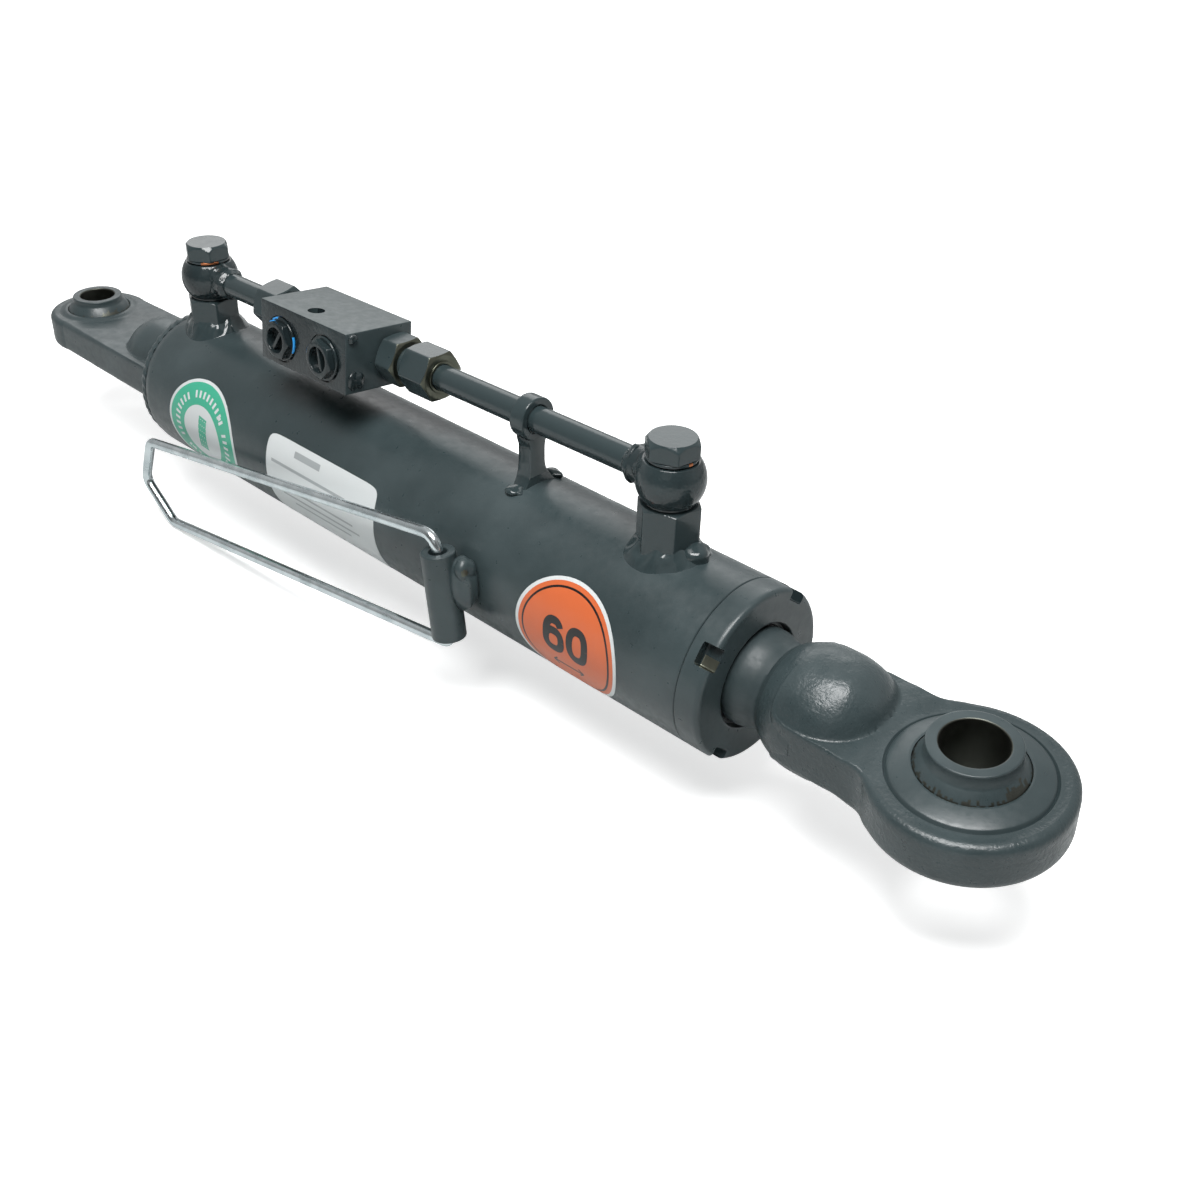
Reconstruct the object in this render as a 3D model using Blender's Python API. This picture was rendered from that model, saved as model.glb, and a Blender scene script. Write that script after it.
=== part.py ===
"""Hydraulic top link for a tractor's three-point hitch.

The frame: origin at the centre of the rear eye, +X along the barrel to the
rod eye, +Z to the side of the ports. All lengths are in metres. The rod is
drawn in, and it is turned a few degrees about its own axis.
"""

import math

import bmesh
import bpy
from mathutils import Matrix, Vector

# Barrel tube
barrel_od = 0.0760
barrel_wall = 0.0065
barrel_length = 0.3860
barrel_end_drop = 0.0042
barrel_end_length = 0.0105
barrel_mouth_lead = 0.0010
passage_radius = 0.0040

# Clearances shared by all pieces
seat_gap = 0.0003
cut_overrun = 0.0020
merge_distance = 0.000001

# Rear eye, forged, welded into the barrel
rear_eye_reach = 0.1040
rear_eye_half_width = 0.0275
rear_eye_end_radius = 0.0280
rear_eye_half_thickness = 0.0090
rear_eye_edge_radius = 0.0028
rear_lip_rise = 0.0013
rear_lip_width = 0.0040
rear_neck_step = 0.0102
rear_neck_length = 0.0234
rear_nose_length = 0.0250
rear_shoulder_length = 0.0021
rear_boss_step = 0.0010
rear_boss_rim = 0.0045
rear_spigot_length = 0.0080
rear_weld_height = 0.0014
rear_weld_width = 0.0070
rear_weld_setback_share = 0.4

# Rear ball
rear_ball_radius = 0.0200
rear_ball_width = 0.0350
rear_collar_radius = 0.0139
rear_bore_diameter = 0.0193
ball_bore_chamfer = 0.0008

# Front ball
front_ball_radius = 0.0245
front_ball_width = 0.0460
front_collar_radius = 0.0176
front_bore_diameter = 0.0255

# Gland head, screwed into the barrel's mouth
gland_flange_length = 0.0120
gland_spigot_length = 0.0343
gland_rim_chamfer = 0.0013
gland_recess_step = 0.0017
gland_recess_depth = 0.0040
notch_width = 0.0100
notch_depth = 0.0050
notch_length = 0.0075
notch_count = 4
notch_first_angle = 53.0

# Rod and its seals
rod_bore_share = 0.555556
rod_chamfer = 0.0010
rod_spigot_radius = 0.0120
rod_spigot_length = 0.0140
wiper_length = 0.0055
wiper_height = 0.0037
bush_length = 0.0080
bush_height = 0.0020
seal_length = 0.0075
seal_height = 0.0047
seal_lip_share = 0.33
gland_land = 0.0042
o_ring_section = 0.0023
o_ring_setback = 0.0060

# Piston and its nut
piston_length = 0.0380
journal_step = 0.0047
piston_seal_length = 0.0100
piston_seal_height = 0.0045
wear_ring_length = 0.0060
wear_ring_height = 0.0022
wear_ring_inset = 0.0040
piston_chamfer = 0.0010
nut_wall = 0.0055
nut_length = 0.0200
end_clearance = 0.0030

# Rod eye, forged, welded on the rod
rod_roll = 6.0
rod_eye_standoff = 0.0980
neck_step = 0.0037
neck_length = 0.0050
neck_setback = 0.0010
waist_step = 0.0018
waist_length = 0.0115
flare_length = 0.0180
flare_power = 0.75
body_radius = 0.0266
body_length = 0.0030
nose_length = 0.0262
nose_power = 2.5
shank_lead = 0.0080
eye_plate_half_width = 0.0265
eye_plate_half_thickness = 0.0100
eye_plate_edge_radius = 0.0020
eye_fillet_radius = 0.0120
ring_radius = 0.0393
ring_half_thickness = 0.0090
ring_edge_radius = 0.0040
groove_radius = 0.0311
groove_depth = 0.0012
groove_half_width = 0.0007
crown_half_height = 0.0125

# Ports
rear_port_setback = 0.0240
front_port_setback = 0.0395
port_hex_across_flats = 0.0240
rear_port_turn = 32.0
front_port_turn = 22.0
front_boss_height = 0.0217
rear_boss_height = 0.0162
port_foot_depth = 0.0060
port_weld_radius = 0.0165
port_weld_height = 0.0060
port_weld_root_share = 0.33
port_weld_toe_share = 0.2
banjo_radius = 0.0146
banjo_height = 0.0180
banjo_stub_radius = 0.0079
banjo_stub_length = 0.0185
banjo_stub_start_share = 1.2
banjo_gallery_depth = 0.0015
banjo_gallery_length = 0.0080
washer_thickness = 0.0015
washer_radius = 0.0110
bolt_shank_radius = 0.0065
bolt_shank_depth = 0.0120
bolt_drill_radius = 0.0030
bolt_cross_radius = 0.0025
bolt_across_flats = 0.0197
rear_bolt_turn = 32.0
front_bolt_turn = 24.0
bolt_head_height = 0.0075

# Pipe line
pipe_od = 0.0120
pipe_wall = 0.0020
pipe_insertion = 0.0070

# Clip that carries the front pipe
clip_place_share = 0.753488
clip_width = 0.0080
clip_wall = 0.0037
clip_waist = 0.0100
clip_waist_share = 0.62
clip_foot = 0.0310
clip_foot_share = 0.8
clip_ease_power = 2.4

# Valve block
block_place_share = 0.366202
block_length = 0.0645
block_width = 0.0385
block_height = 0.0290
block_roll = 6.0
block_side_offset = 0.0085
block_lift = 0.0013
block_edge = 0.0009
block_hole_radius = 0.0041
block_hole_inset = 0.0103
block_hole_setback = 0.0030
block_thread_radius = 0.0075
block_thread_depth = 0.0100
pilot_bore_radius = 0.0042
chamber_radius = 0.0062
chamber_length = 0.01025
hose_port_spacing = 0.0325
hose_port_drop = 0.0012
hose_port_radius = 0.0066
hose_port_depth = 0.0110
hose_face_radius = 0.0112
hose_face_depth = 0.0008
hose_passage_radius = 0.0025
stop_plug_radius = 0.0042
stop_plug_height = 0.0016
stop_plug_drop = 0.0085
stop_plug_inset_share = 1.5

# Pilot piston and poppets inside the block
pilot_body_share = 0.6
pilot_pin_radius = 0.0020
pilot_rest_gap = 0.0012
pilot_clearance = 0.0003
poppet_radius = 0.0052
poppet_length = 0.0060
poppet_nose = 0.0028
poppet_nose_share = 0.6
poppet_entry_share = 0.4

# Fittings at the ends of the block
adapter_neck_radius = 0.0080
adapter_hex_across_flats = 0.0215
adapter_hex_length = 0.0120
front_neck_length = 0.0254
rear_neck_length = 0.0222
adapter_flow_radius = 0.0040
adapter_tip_chamfer = 0.0015
union_across_flats = 0.0215
front_union_length = 0.0180
rear_union_length = 0.0165
front_union_turn = 0.0
rear_union_turn = 10.0
union_grip = 0.0050
ring_length = 0.0040
ring_wall = 0.0014

# Port plugs of moulded plastic
plug_flange_radius = 0.0104
plug_flange_thickness = 0.0014
plug_across_flats = 0.0165
plug_rise = 0.0032
plug_well_radius = 0.0060
plug_well_depth = 0.0080
plug_rib = 0.0018
plug_shank_length = 0.0090
plug_shank_entry_share = 0.67

# Bail and its sleeve
bail_wire = 0.0052
bail_lean = 8.0
sleeve_place_share = 0.673575
sleeve_drop = 0.0040
sleeve_radius = 0.0080
sleeve_half_length = 0.0210
sleeve_clearance = 0.0004
sleeve_mouth = 0.0008
sleeve_standoff = 0.0010
bail_leg = 0.0120
bail_bend_radius = 0.0050
bail_mouth_rise = 0.0046
bail_reach = 0.2535
bail_top_corner = 0.2390
bail_top_height = 0.0195
bail_nose_height = -0.0050
bail_low_corner = 0.2330
bail_low_height = -0.0262
bail_corner_radius = 0.0080
lug_length = 0.0140
lug_rise = 0.0030
lug_reach = 0.0070
lug_depth = 0.0058
lug_offset_shares = (0.9, 0.55)

# Shares of a hexagon's width: the flat left on a chamfered face, and the bar
chamfer_face_share = 0.97
blank_share = 1.22

# Facet counts
barrel_steps = 26
rod_steps = 24
eye_steps = 22
fitting_steps = 14
drill_steps = 8
arc_steps = 4
wire_steps = 4

# Places that follow from the sizes above
barrel_radius = barrel_od / 2
bore_radius = barrel_radius - barrel_wall
barrel_start = rear_eye_reach
barrel_mouth = barrel_start + barrel_length
gland_back = barrel_mouth + seat_gap
gland_front = gland_back + gland_flange_length
gland_end = gland_back - gland_spigot_length
rod_eye_place = gland_front + rod_eye_standoff - seat_gap
rear_port_place = barrel_start + rear_port_setback
front_port_place = barrel_mouth - front_port_setback
rod_radius = bore_radius * rod_bore_share
piston_bore_radius = rod_radius - journal_step
neck_radius = rod_radius + neck_step
waist_radius = rod_radius + waist_step
rear_boss_radius = barrel_radius - barrel_end_drop - rear_boss_step
rear_neck_radius = barrel_radius - barrel_end_drop - rear_neck_step
spigot_face = barrel_start + rear_spigot_length
nut_start = spigot_face + end_clearance
piston_start = nut_start + nut_length + seat_gap
rod_shoulder = piston_start + piston_length + seat_gap
neck_start = gland_front - gland_recess_depth + neck_setback
front_boss_top = barrel_radius + front_boss_height
rear_boss_top = barrel_radius + rear_boss_height
rear_banjo_centre = rear_boss_top + washer_thickness + banjo_height / 2
front_banjo_centre = front_boss_top + washer_thickness + banjo_height / 2
line_rise = front_banjo_centre - rear_banjo_centre
port_span = front_port_place - rear_port_place
line_slope = math.atan2(line_rise, port_span)
line_length = math.hypot(line_rise, port_span)
pipe_radius = pipe_od / 2
block_place = rear_port_place + port_span * block_place_share
clip_place = rear_port_place + port_span * clip_place_share
sleeve_place = barrel_start + barrel_length * sleeve_place_share


def material(name, colour, roughness, metallic=0.0):
    """A Principled material; colour is linear RGB."""
    made = bpy.data.materials.new(name)
    made.use_nodes = True
    made.diffuse_color = (*colour, 1.0)
    shader = made.node_tree.nodes["Principled BSDF"]
    shader.inputs["Base Color"].default_value = (*colour, 1.0)
    shader.inputs["Roughness"].default_value = roughness
    shader.inputs["Metallic"].default_value = metallic
    return made


def put(name, mesh, look, parent=None, location=(0, 0, 0), rotation=(0, 0, 0)):
    """Links an object of this mesh, shaded smooth up to its real edges."""
    mesh.shade_smooth()
    mesh.set_sharp_from_angle(angle=math.radians(35))
    item = bpy.data.objects.new(name, mesh)
    bpy.context.scene.collection.objects.link(item)
    item.parent = parent
    item.location = location
    item.rotation_euler = rotation
    if look:
        mesh.materials.append(look)
    return item


def pivot(name, location, rotation=(0, 0, 0), parent=None):
    """An empty that carries pieces."""
    item = bpy.data.objects.new(name, None)
    item.empty_display_size = passage_radius
    bpy.context.scene.collection.objects.link(item)
    item.parent = parent
    item.location = location
    item.rotation_euler = rotation
    return item


def helper(item):
    """Marks a cutter or an added form as not a piece of its own."""
    item.hide_render = True
    item.display_type = "WIRE"
    return item


def combine(target, tool, operation):
    step = target.modifiers.new(operation.title() + " " + tool.name, "BOOLEAN")
    step.operation = operation
    step.object = helper(tool)
    step.solver = "EXACT"
    return target


def cut(target, tool):
    return combine(target, tool, "DIFFERENCE")


def fuse(target, tool):
    return combine(target, tool, "UNION")


def keep(target, tool):
    return combine(target, tool, "INTERSECT")


def finished(bm, name):
    bmesh.ops.remove_doubles(bm, verts=bm.verts, dist=merge_distance)
    bmesh.ops.recalc_face_normals(bm, faces=bm.faces)
    mesh = bpy.data.meshes.new(name)
    bm.to_mesh(mesh)
    bm.free()
    return mesh


def turned_mesh(name, profile, steps, axis="X"):
    """Revolves (place along the axis, radius) points. A profile that starts
    and ends on the axis is solid, and any other is closed on itself."""
    bm = bmesh.new()
    if axis == "X":
        points = [Vector((along, 0, radius)) for along, radius in profile]
        direction = Vector((1, 0, 0))
    else:
        points = [Vector((radius, 0, along)) for along, radius in profile]
        direction = Vector((0, 0, 1))
    verts = [bm.verts.new(point) for point in points]
    edges = [bm.edges.new(pair) for pair in zip(verts, verts[1:])]
    if profile[0][1] > merge_distance:
        edges.append(bm.edges.new((verts[-1], verts[0])))
    bmesh.ops.spin(
        bm,
        geom=verts + edges,
        axis=direction,
        cent=(0, 0, 0),
        steps=steps,
        angle=math.tau,
        use_merge=True,
        use_duplicate=False,
    )
    return finished(bm, name)


def turned(name, profile, steps, look, axis="X", **place):
    return put(name, turned_mesh(name, profile, steps, axis), look, **place)


def rod_profile(start, end, radius, chamfer=0.0):
    if chamfer:
        return [
            (start, 0),
            (start, radius - chamfer),
            (start + chamfer, radius),
            (end - chamfer, radius),
            (end, radius - chamfer),
            (end, 0),
        ]
    return [(start, 0), (start, radius), (end, radius), (end, 0)]


def tube_profile(start, end, inner, outer):
    return [(start, inner), (start, outer), (end, outer), (end, inner)]


def drill(name, start, end, radius, axis="Z", steps=drill_steps, **place):
    """A round cutter from start to end along its own axis."""
    return turned(name, rod_profile(start, end, radius), steps, None, axis, **place)


def prism_mesh(name, outline, low, high, axis="Z"):
    """Extrudes an outline from low to high along X, Y or Z. Its points are
    (x, y) for Z, (y, z) for X and (x, z) for Y."""
    bm = bmesh.new()
    if axis == "Z":
        corners = [(a, b, low) for a, b in outline]
        move = Vector((0, 0, high - low))
    elif axis == "X":
        corners = [(low, a, b) for a, b in outline]
        move = Vector((high - low, 0, 0))
    else:
        corners = [(a, low, b) for a, b in outline]
        move = Vector((0, high - low, 0))
    face = bm.faces.new([bm.verts.new(corner) for corner in corners])
    grown = bmesh.ops.extrude_face_region(bm, geom=[face])["geom"]
    moved = [item for item in grown if isinstance(item, bmesh.types.BMVert)]
    bmesh.ops.translate(bm, verts=moved, vec=move)
    return finished(bm, name)


def prism(name, outline, low, high, look, axis="Z", **place):
    return put(name, prism_mesh(name, outline, low, high, axis), look, **place)


def hexagon(across_flats, turn=0.0):
    radius = across_flats / 2 / math.cos(math.pi / 6)
    angles = [math.tau * side / 6 + turn for side in range(6)]
    return [(radius * math.cos(a), radius * math.sin(a)) for a in angles]


def box_outline(half_wide, half_high):
    return [
        (-half_wide, -half_high),
        (half_wide, -half_high),
        (half_wide, half_high),
        (-half_wide, half_high),
    ]


def rounded(item, width, segments, limit=60.0):
    """Rounds the edges sharper than limit degrees."""
    step = item.modifiers.new("Rounded edges", "BEVEL")
    step.width = width
    step.segments = segments
    step.limit_method = "ANGLE"
    step.angle_limit = math.radians(limit)
    return item


def arc(centre, radius, start, end, steps):
    """Points on a plane arc, angles in radians."""
    turns = [start + (end - start) * step / steps for step in range(steps + 1)]
    return [
        (centre[0] + radius * math.cos(t), centre[1] + radius * math.sin(t))
        for t in turns
    ]


def hex_blank(start, end, across_flats, both=False):
    """The turned blank that a hexagon is cut from: it chamfers the corners
    at its end, and at its start where both are wanted."""
    face = across_flats / 2 * chamfer_face_share
    outer = across_flats / 2 * blank_share
    depth = (outer - face) * math.tan(math.pi / 6)
    first = [(start, 0), (start, outer)]
    if both:
        first = [(start, 0), (start, face), (start + depth, outer)]
    return first + [(end - depth, outer), (end, face), (end, 0)]


def barrel_end_radius(along):
    """Outer radius of the barrel's rounded rear end."""
    share = min(1.0, max(0.0, (along - barrel_start) / barrel_end_length))
    return barrel_radius - barrel_end_drop * (1 - share) ** 2


def barrel_form(name, gap):
    """The barrel's outer cylinder, larger by the gap, as a cutter."""
    return drill(
        name,
        barrel_start,
        barrel_mouth,
        barrel_radius + gap,
        "X",
        barrel_steps,
    )


def eye_ball(name, radius, width, collar, bore, look, parent):
    """A pierced ball with a collar at each end, turned about its bore."""
    half = width / 2
    lean = math.acos(collar / radius)
    side = [
        (radius * math.sin(t), radius * math.cos(t))
        for t in [lean - 2 * lean * step / (2 * arc_steps) for step in range(2 * arc_steps + 1)]
    ]
    hole = bore / 2
    profile = [(half, hole + ball_bore_chamfer), (half, collar)]
    profile += side
    profile += [
        (-half, collar),
        (-half, hole + ball_bore_chamfer),
        (-half + ball_bore_chamfer, hole),
        (half - ball_bore_chamfer, hole),
    ]
    return turned(name, profile, eye_steps, look, "Z", parent=parent)


def seat_arc(radius, height):
    """Half outline of a ball seat from +height down to -height."""
    lean = math.asin(height / radius)
    count = 2 * arc_steps
    turns = [lean - 2 * lean * step / count for step in range(count + 1)]
    return [(radius * math.sin(t), radius * math.cos(t)) for t in turns]


def round_end(end_radius, half_width, far):
    """Plan of a bar of half_width that starts at far on the -X side and ends
    in a round about the origin."""
    lean = math.acos(half_width / end_radius)
    side = arc((0, 0), end_radius, math.pi / 2 + lean, 0, 3 * arc_steps)
    side = [(far, half_width)] + side
    return side + [(a, -b) for a, b in reversed(side[:-1])]


def shank_plan(end_radius, half_width, far, fillet):
    """Plan of a shank that starts at far on the -X side and flares with
    tangent fillets to the side of a round of end_radius about the origin."""
    height = half_width + fillet
    reach = math.sqrt((end_radius + fillet) ** 2 - height**2)
    lean = math.atan2(height, -reach)
    side = [(far, half_width)]
    side += arc((-reach, height), fillet, -math.pi / 2, lean - math.pi, arc_steps)
    return side + [(a, -b) for a, b in reversed(side)]


for old in list(bpy.data.objects):
    bpy.data.objects.remove(old, do_unlink=True)

paint = material("Dark grey enamel", (0.045, 0.06, 0.066), 0.38)
steel = material("Machined steel", (0.42, 0.42, 0.40), 0.35, 1.0)
chrome = material("Hard chrome", (0.62, 0.63, 0.64), 0.12, 1.0)
zinc = material("Zinc plate", (0.62, 0.66, 0.67), 0.3, 1.0)
copper = material("Copper", (0.7, 0.32, 0.18), 0.35, 1.0)
bronze = material("Bronze", (0.55, 0.38, 0.17), 0.4, 1.0)
nitrile = material("Nitrile rubber", (0.012, 0.012, 0.013), 0.6)
polyurethane = material("Polyurethane", (0.02, 0.16, 0.2), 0.45)
cap_plastic = material("Moulded cap plastic", (0.03, 0.14, 0.35), 0.45)

# Barrel tube: honed bore, rounded rear end, two passages under the ports
outer = [
    (barrel_start + barrel_end_length * step / arc_steps, 0)
    for step in range(arc_steps + 1)
]
outer = [(along, barrel_end_radius(along)) for along, _ in outer]
barrel = turned(
    "barrel_tube",
    [(barrel_start, bore_radius)]
    + outer
    + [
        (barrel_mouth, barrel_radius),
        (barrel_mouth, bore_radius + barrel_mouth_lead),
        (barrel_mouth - barrel_mouth_lead, bore_radius),
    ],
    barrel_steps,
    paint,
)
for label, along in (("rear", rear_port_place), ("front", front_port_place)):
    hole = drill(
        label + "_passage_cutter",
        bore_radius - cut_overrun,
        barrel_radius + cut_overrun,
        passage_radius,
        location=(along, 0, 0),
    )
    cut(barrel, hole)

# Rear eye: flat plate with a round end, a swaged lip round the ball, a round
# neck with a domed nose, a boss that closes the barrel, and its spigot
boss_end = barrel_start - seat_gap
boss_start = boss_end - rear_boss_rim
rear_neck_end = boss_start - rear_shoulder_length
rear_neck_start = rear_neck_end - rear_neck_length
plan = round_end(rear_eye_end_radius, rear_eye_half_width, rear_boss_rim - boss_end)
rear_eye = prism(
    "rear_eye",
    [(-a, b) for a, b in plan],
    -rear_eye_half_thickness,
    rear_eye_half_thickness,
    paint,
)
rounded(rear_eye, rear_eye_edge_radius, 2)
rear_seat = rear_ball_radius + seat_gap
lip_height = rear_eye_half_thickness + rear_lip_rise
lip_foot = math.sqrt(rear_seat**2 - lip_height**2)
lip = turned(
    "rear_eye_lip",
    [
        (lip_height, 0),
        (lip_height, lip_foot + rear_lip_width / 2),
        (rear_eye_half_thickness - rear_lip_rise, lip_foot + rear_lip_width),
        (rear_lip_rise - rear_eye_half_thickness, lip_foot + rear_lip_width),
        (-lip_height, lip_foot + rear_lip_width / 2),
        (-lip_height, 0),
    ],
    eye_steps,
    None,
    "Z",
)
rear_cavity = turned(
    "rear_seat_cutter",
    [(lip_height + cut_overrun, 0), (lip_height + cut_overrun, lip_foot)]
    + seat_arc(rear_seat, lip_height)
    + [(-lip_height - cut_overrun, lip_foot), (-lip_height - cut_overrun, 0)],
    eye_steps,
    None,
    "Z",
)
rear_nose = [
    (rear_neck_start - rear_nose_length * math.cos(t), rear_neck_radius * math.sin(t))
    for t in [math.pi / 2 * step / (arc_steps + 1) for step in range(arc_steps + 2)]
]
spigot_radius = bore_radius - seat_gap
boss = turned(
    "rear_eye_boss",
    rear_nose
    + [
        (rear_neck_end, rear_neck_radius),
        (boss_start, rear_boss_radius),
        (boss_end, rear_boss_radius),
        (boss_end, spigot_radius),
        (spigot_face - rod_chamfer, spigot_radius),
        (spigot_face, spigot_radius - rod_chamfer),
        (spigot_face, 0),
    ],
    barrel_steps,
    None,
)
fuse(rear_eye, lip)
fuse(rear_eye, boss)
cut(rear_eye, rear_cavity)
rear_pivot = pivot("rear_ball_pivot", (0, 0, 0))
eye_ball(
    "rear_eye_ball",
    rear_ball_radius,
    rear_ball_width,
    rear_collar_radius,
    rear_bore_diameter,
    paint,
    rear_pivot,
)

# Weld bead between the rear eye and the barrel
bead_start = boss_end - rear_weld_width * rear_weld_setback_share
bead_end = bead_start + rear_weld_width
bead_low = rear_boss_radius + seat_gap
bead = [(bead_start, bead_low)]
for step in range(1, arc_steps):
    share = step / arc_steps
    along = bead_start + rear_weld_width * share
    foot = bead_low + (barrel_end_radius(bead_end) + seat_gap - bead_low) * share
    bead.append((along, foot + rear_weld_height * math.sin(math.pi * share)))
bead.append((bead_end, barrel_end_radius(bead_end) + seat_gap))
bead.append((barrel_start, barrel_end_radius(barrel_start) + seat_gap))
turned("rear_weld", bead, barrel_steps, paint)

# Gland head: threaded spigot with its grooves, flange with spanner notches
gland_bore = rod_radius + seat_gap
gland_recess = gland_bore + wiper_height + gland_recess_step
recess_floor = gland_front - gland_recess_depth
wiper_back = recess_floor - wiper_length
bush_front = wiper_back - gland_land
bush_back = bush_front - bush_length
seal_front = bush_back - gland_land
seal_back = seal_front - seal_length
o_ring_back = gland_end + o_ring_setback
o_ring_front = o_ring_back + o_ring_section + 2 * seat_gap
gland_radius = bore_radius - seat_gap
gland = turned(
    "gland_head",
    [
        (gland_end, gland_bore),
        (gland_end, gland_radius - gland_rim_chamfer),
        (gland_end + gland_rim_chamfer, gland_radius),
        (o_ring_back, gland_radius),
        (o_ring_back, gland_radius - o_ring_section),
        (o_ring_front, gland_radius - o_ring_section),
        (o_ring_front, gland_radius),
        (gland_back, gland_radius),
        (gland_back, barrel_radius),
        (gland_front - gland_rim_chamfer, barrel_radius),
        (gland_front, barrel_radius - gland_rim_chamfer),
        (gland_front, gland_recess),
        (recess_floor, gland_recess),
        (recess_floor, gland_bore + wiper_height),
        (wiper_back, gland_bore + wiper_height),
        (wiper_back, gland_bore),
        (bush_front, gland_bore),
        (bush_front, gland_bore + bush_height),
        (bush_back, gland_bore + bush_height),
        (bush_back, gland_bore),
        (seal_front, gland_bore),
        (seal_front, gland_bore + seal_height),
        (seal_back, gland_bore + seal_height),
        (seal_back, gland_bore),
    ],
    barrel_steps,
    paint,
)
notch_half = notch_width / 2
notch_floor = barrel_radius - notch_depth
slot = [
    (gland_front + cut_overrun, -notch_half),
    (gland_front + cut_overrun, notch_half),
    (gland_front - notch_length, notch_half),
    (gland_front - notch_length, -notch_half),
]
for side in range(notch_count):
    turn = math.radians(notch_first_angle) + math.tau * side / notch_count
    tool = prism(
        f"notch_cutter_{side}",
        slot,
        notch_floor,
        barrel_radius + cut_overrun,
        None,
        rotation=(turn, 0, 0),
    )
    cut(gland, tool)
turned(
    "wiper_ring",
    [
        (wiper_back + seat_gap, gland_bore),
        (wiper_back + seat_gap, gland_bore + wiper_height - seat_gap),
        (recess_floor, gland_bore + wiper_height - seat_gap),
        (recess_floor + seat_gap, gland_bore + seat_gap),
        (recess_floor, gland_bore),
    ],
    rod_steps,
    polyurethane,
)
turned(
    "rod_bush",
    tube_profile(
        bush_back + seat_gap,
        bush_front - seat_gap,
        gland_bore,
        gland_bore + bush_height - seat_gap,
    ),
    rod_steps,
    bronze,
)
seal_top = gland_bore + seal_height - seat_gap
seal_mid = gland_bore + seal_height / 2
turned(
    "rod_seal",
    [
        (seal_back + seat_gap, gland_bore),
        (seal_back + seal_length * seal_lip_share, seal_mid),
        (seal_back + seat_gap, seal_top),
        (seal_front - seat_gap, seal_top),
        (seal_front - seat_gap, gland_bore),
    ],
    rod_steps,
    polyurethane,
)
turned(
    "gland_o_ring",
    arc(
        (o_ring_back + o_ring_section / 2 + seat_gap, gland_radius - o_ring_section / 2 + seat_gap / 2),
        o_ring_section / 2 - seat_gap / 2,
        0,
        math.tau,
        arc_steps + 2,
    )[:-1],
    rod_steps,
    nitrile,
)

# Rod: reduced journal for the piston, thread for its nut, spigot in the eye
slide_pivot = pivot("piston_pivot", (0, 0, 0))
rod_pivot = pivot("rod_pivot", (0, 0, 0), (math.radians(rod_roll), 0, 0), slide_pivot)
journal = piston_bore_radius - seat_gap
thread = journal - seat_gap
rod_end = neck_start - seat_gap
turned(
    "rod",
    [
        (nut_start, 0),
        (nut_start, thread - rod_chamfer),
        (nut_start + rod_chamfer, thread),
        (piston_start, thread),
        (piston_start, journal),
        (rod_shoulder, journal),
        (rod_shoulder, rod_radius - rod_chamfer),
        (rod_shoulder + rod_chamfer, rod_radius),
        (rod_end, rod_radius),
        (rod_end, rod_spigot_radius),
        (rod_end + rod_spigot_length, rod_spigot_radius),
        (rod_end + rod_spigot_length, 0),
    ],
    rod_steps,
    chrome,
    parent=rod_pivot,
)
piston_end = piston_start + piston_length
piston_middle = (piston_start + piston_end) / 2
seal_low = piston_middle - piston_seal_length / 2
seal_high = piston_middle + piston_seal_length / 2
wear_places = [
    piston_start + wear_ring_inset,
    piston_end - wear_ring_inset - wear_ring_length,
]
piston_profile = [
    (piston_start, piston_bore_radius),
    (piston_start, spigot_radius - piston_chamfer),
    (piston_start + piston_chamfer, spigot_radius),
]
for low, high, depth in (
    (wear_places[0], wear_places[0] + wear_ring_length, wear_ring_height),
    (seal_low, seal_high, piston_seal_height),
    (wear_places[1], wear_places[1] + wear_ring_length, wear_ring_height),
):
    piston_profile += [
        (low, spigot_radius),
        (low, spigot_radius - depth),
        (high, spigot_radius - depth),
        (high, spigot_radius),
    ]
piston_profile += [
    (piston_end - piston_chamfer, spigot_radius),
    (piston_end, spigot_radius - piston_chamfer),
    (piston_end, piston_bore_radius),
]
turned("piston", piston_profile, rod_steps, steel, parent=rod_pivot)
for label, low in zip(("rear", "front"), wear_places):
    turned(
        label + "_wear_ring",
        tube_profile(
            low + seat_gap,
            low + wear_ring_length - seat_gap,
            spigot_radius - wear_ring_height + seat_gap,
            spigot_radius,
        ),
        rod_steps,
        bronze,
        parent=slide_pivot,
    )
turned(
    "piston_seal",
    tube_profile(
        seal_low + seat_gap,
        seal_high - seat_gap,
        spigot_radius - piston_seal_height + seat_gap,
        spigot_radius,
    ),
    rod_steps,
    polyurethane,
    parent=slide_pivot,
)
nut_end = nut_start + nut_length
nut_across_flats = 2 * (thread + seat_gap + nut_wall)
piston_nut = prism(
    "piston_nut",
    hexagon(nut_across_flats),
    nut_start - cut_overrun,
    nut_end + cut_overrun,
    steel,
    "X",
    parent=rod_pivot,
)
blank = turned(
    "piston_nut_blank",
    hex_blank(nut_start, nut_end, nut_across_flats, True),
    fitting_steps,
    None,
    parent=rod_pivot,
)
keep(piston_nut, blank)
cut(
    piston_nut,
    drill(
        "piston_nut_cutter",
        nut_start - cut_overrun,
        nut_end + cut_overrun,
        thread + seat_gap,
        "X",
        rod_steps,
        parent=rod_pivot,
    ),
)

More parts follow.
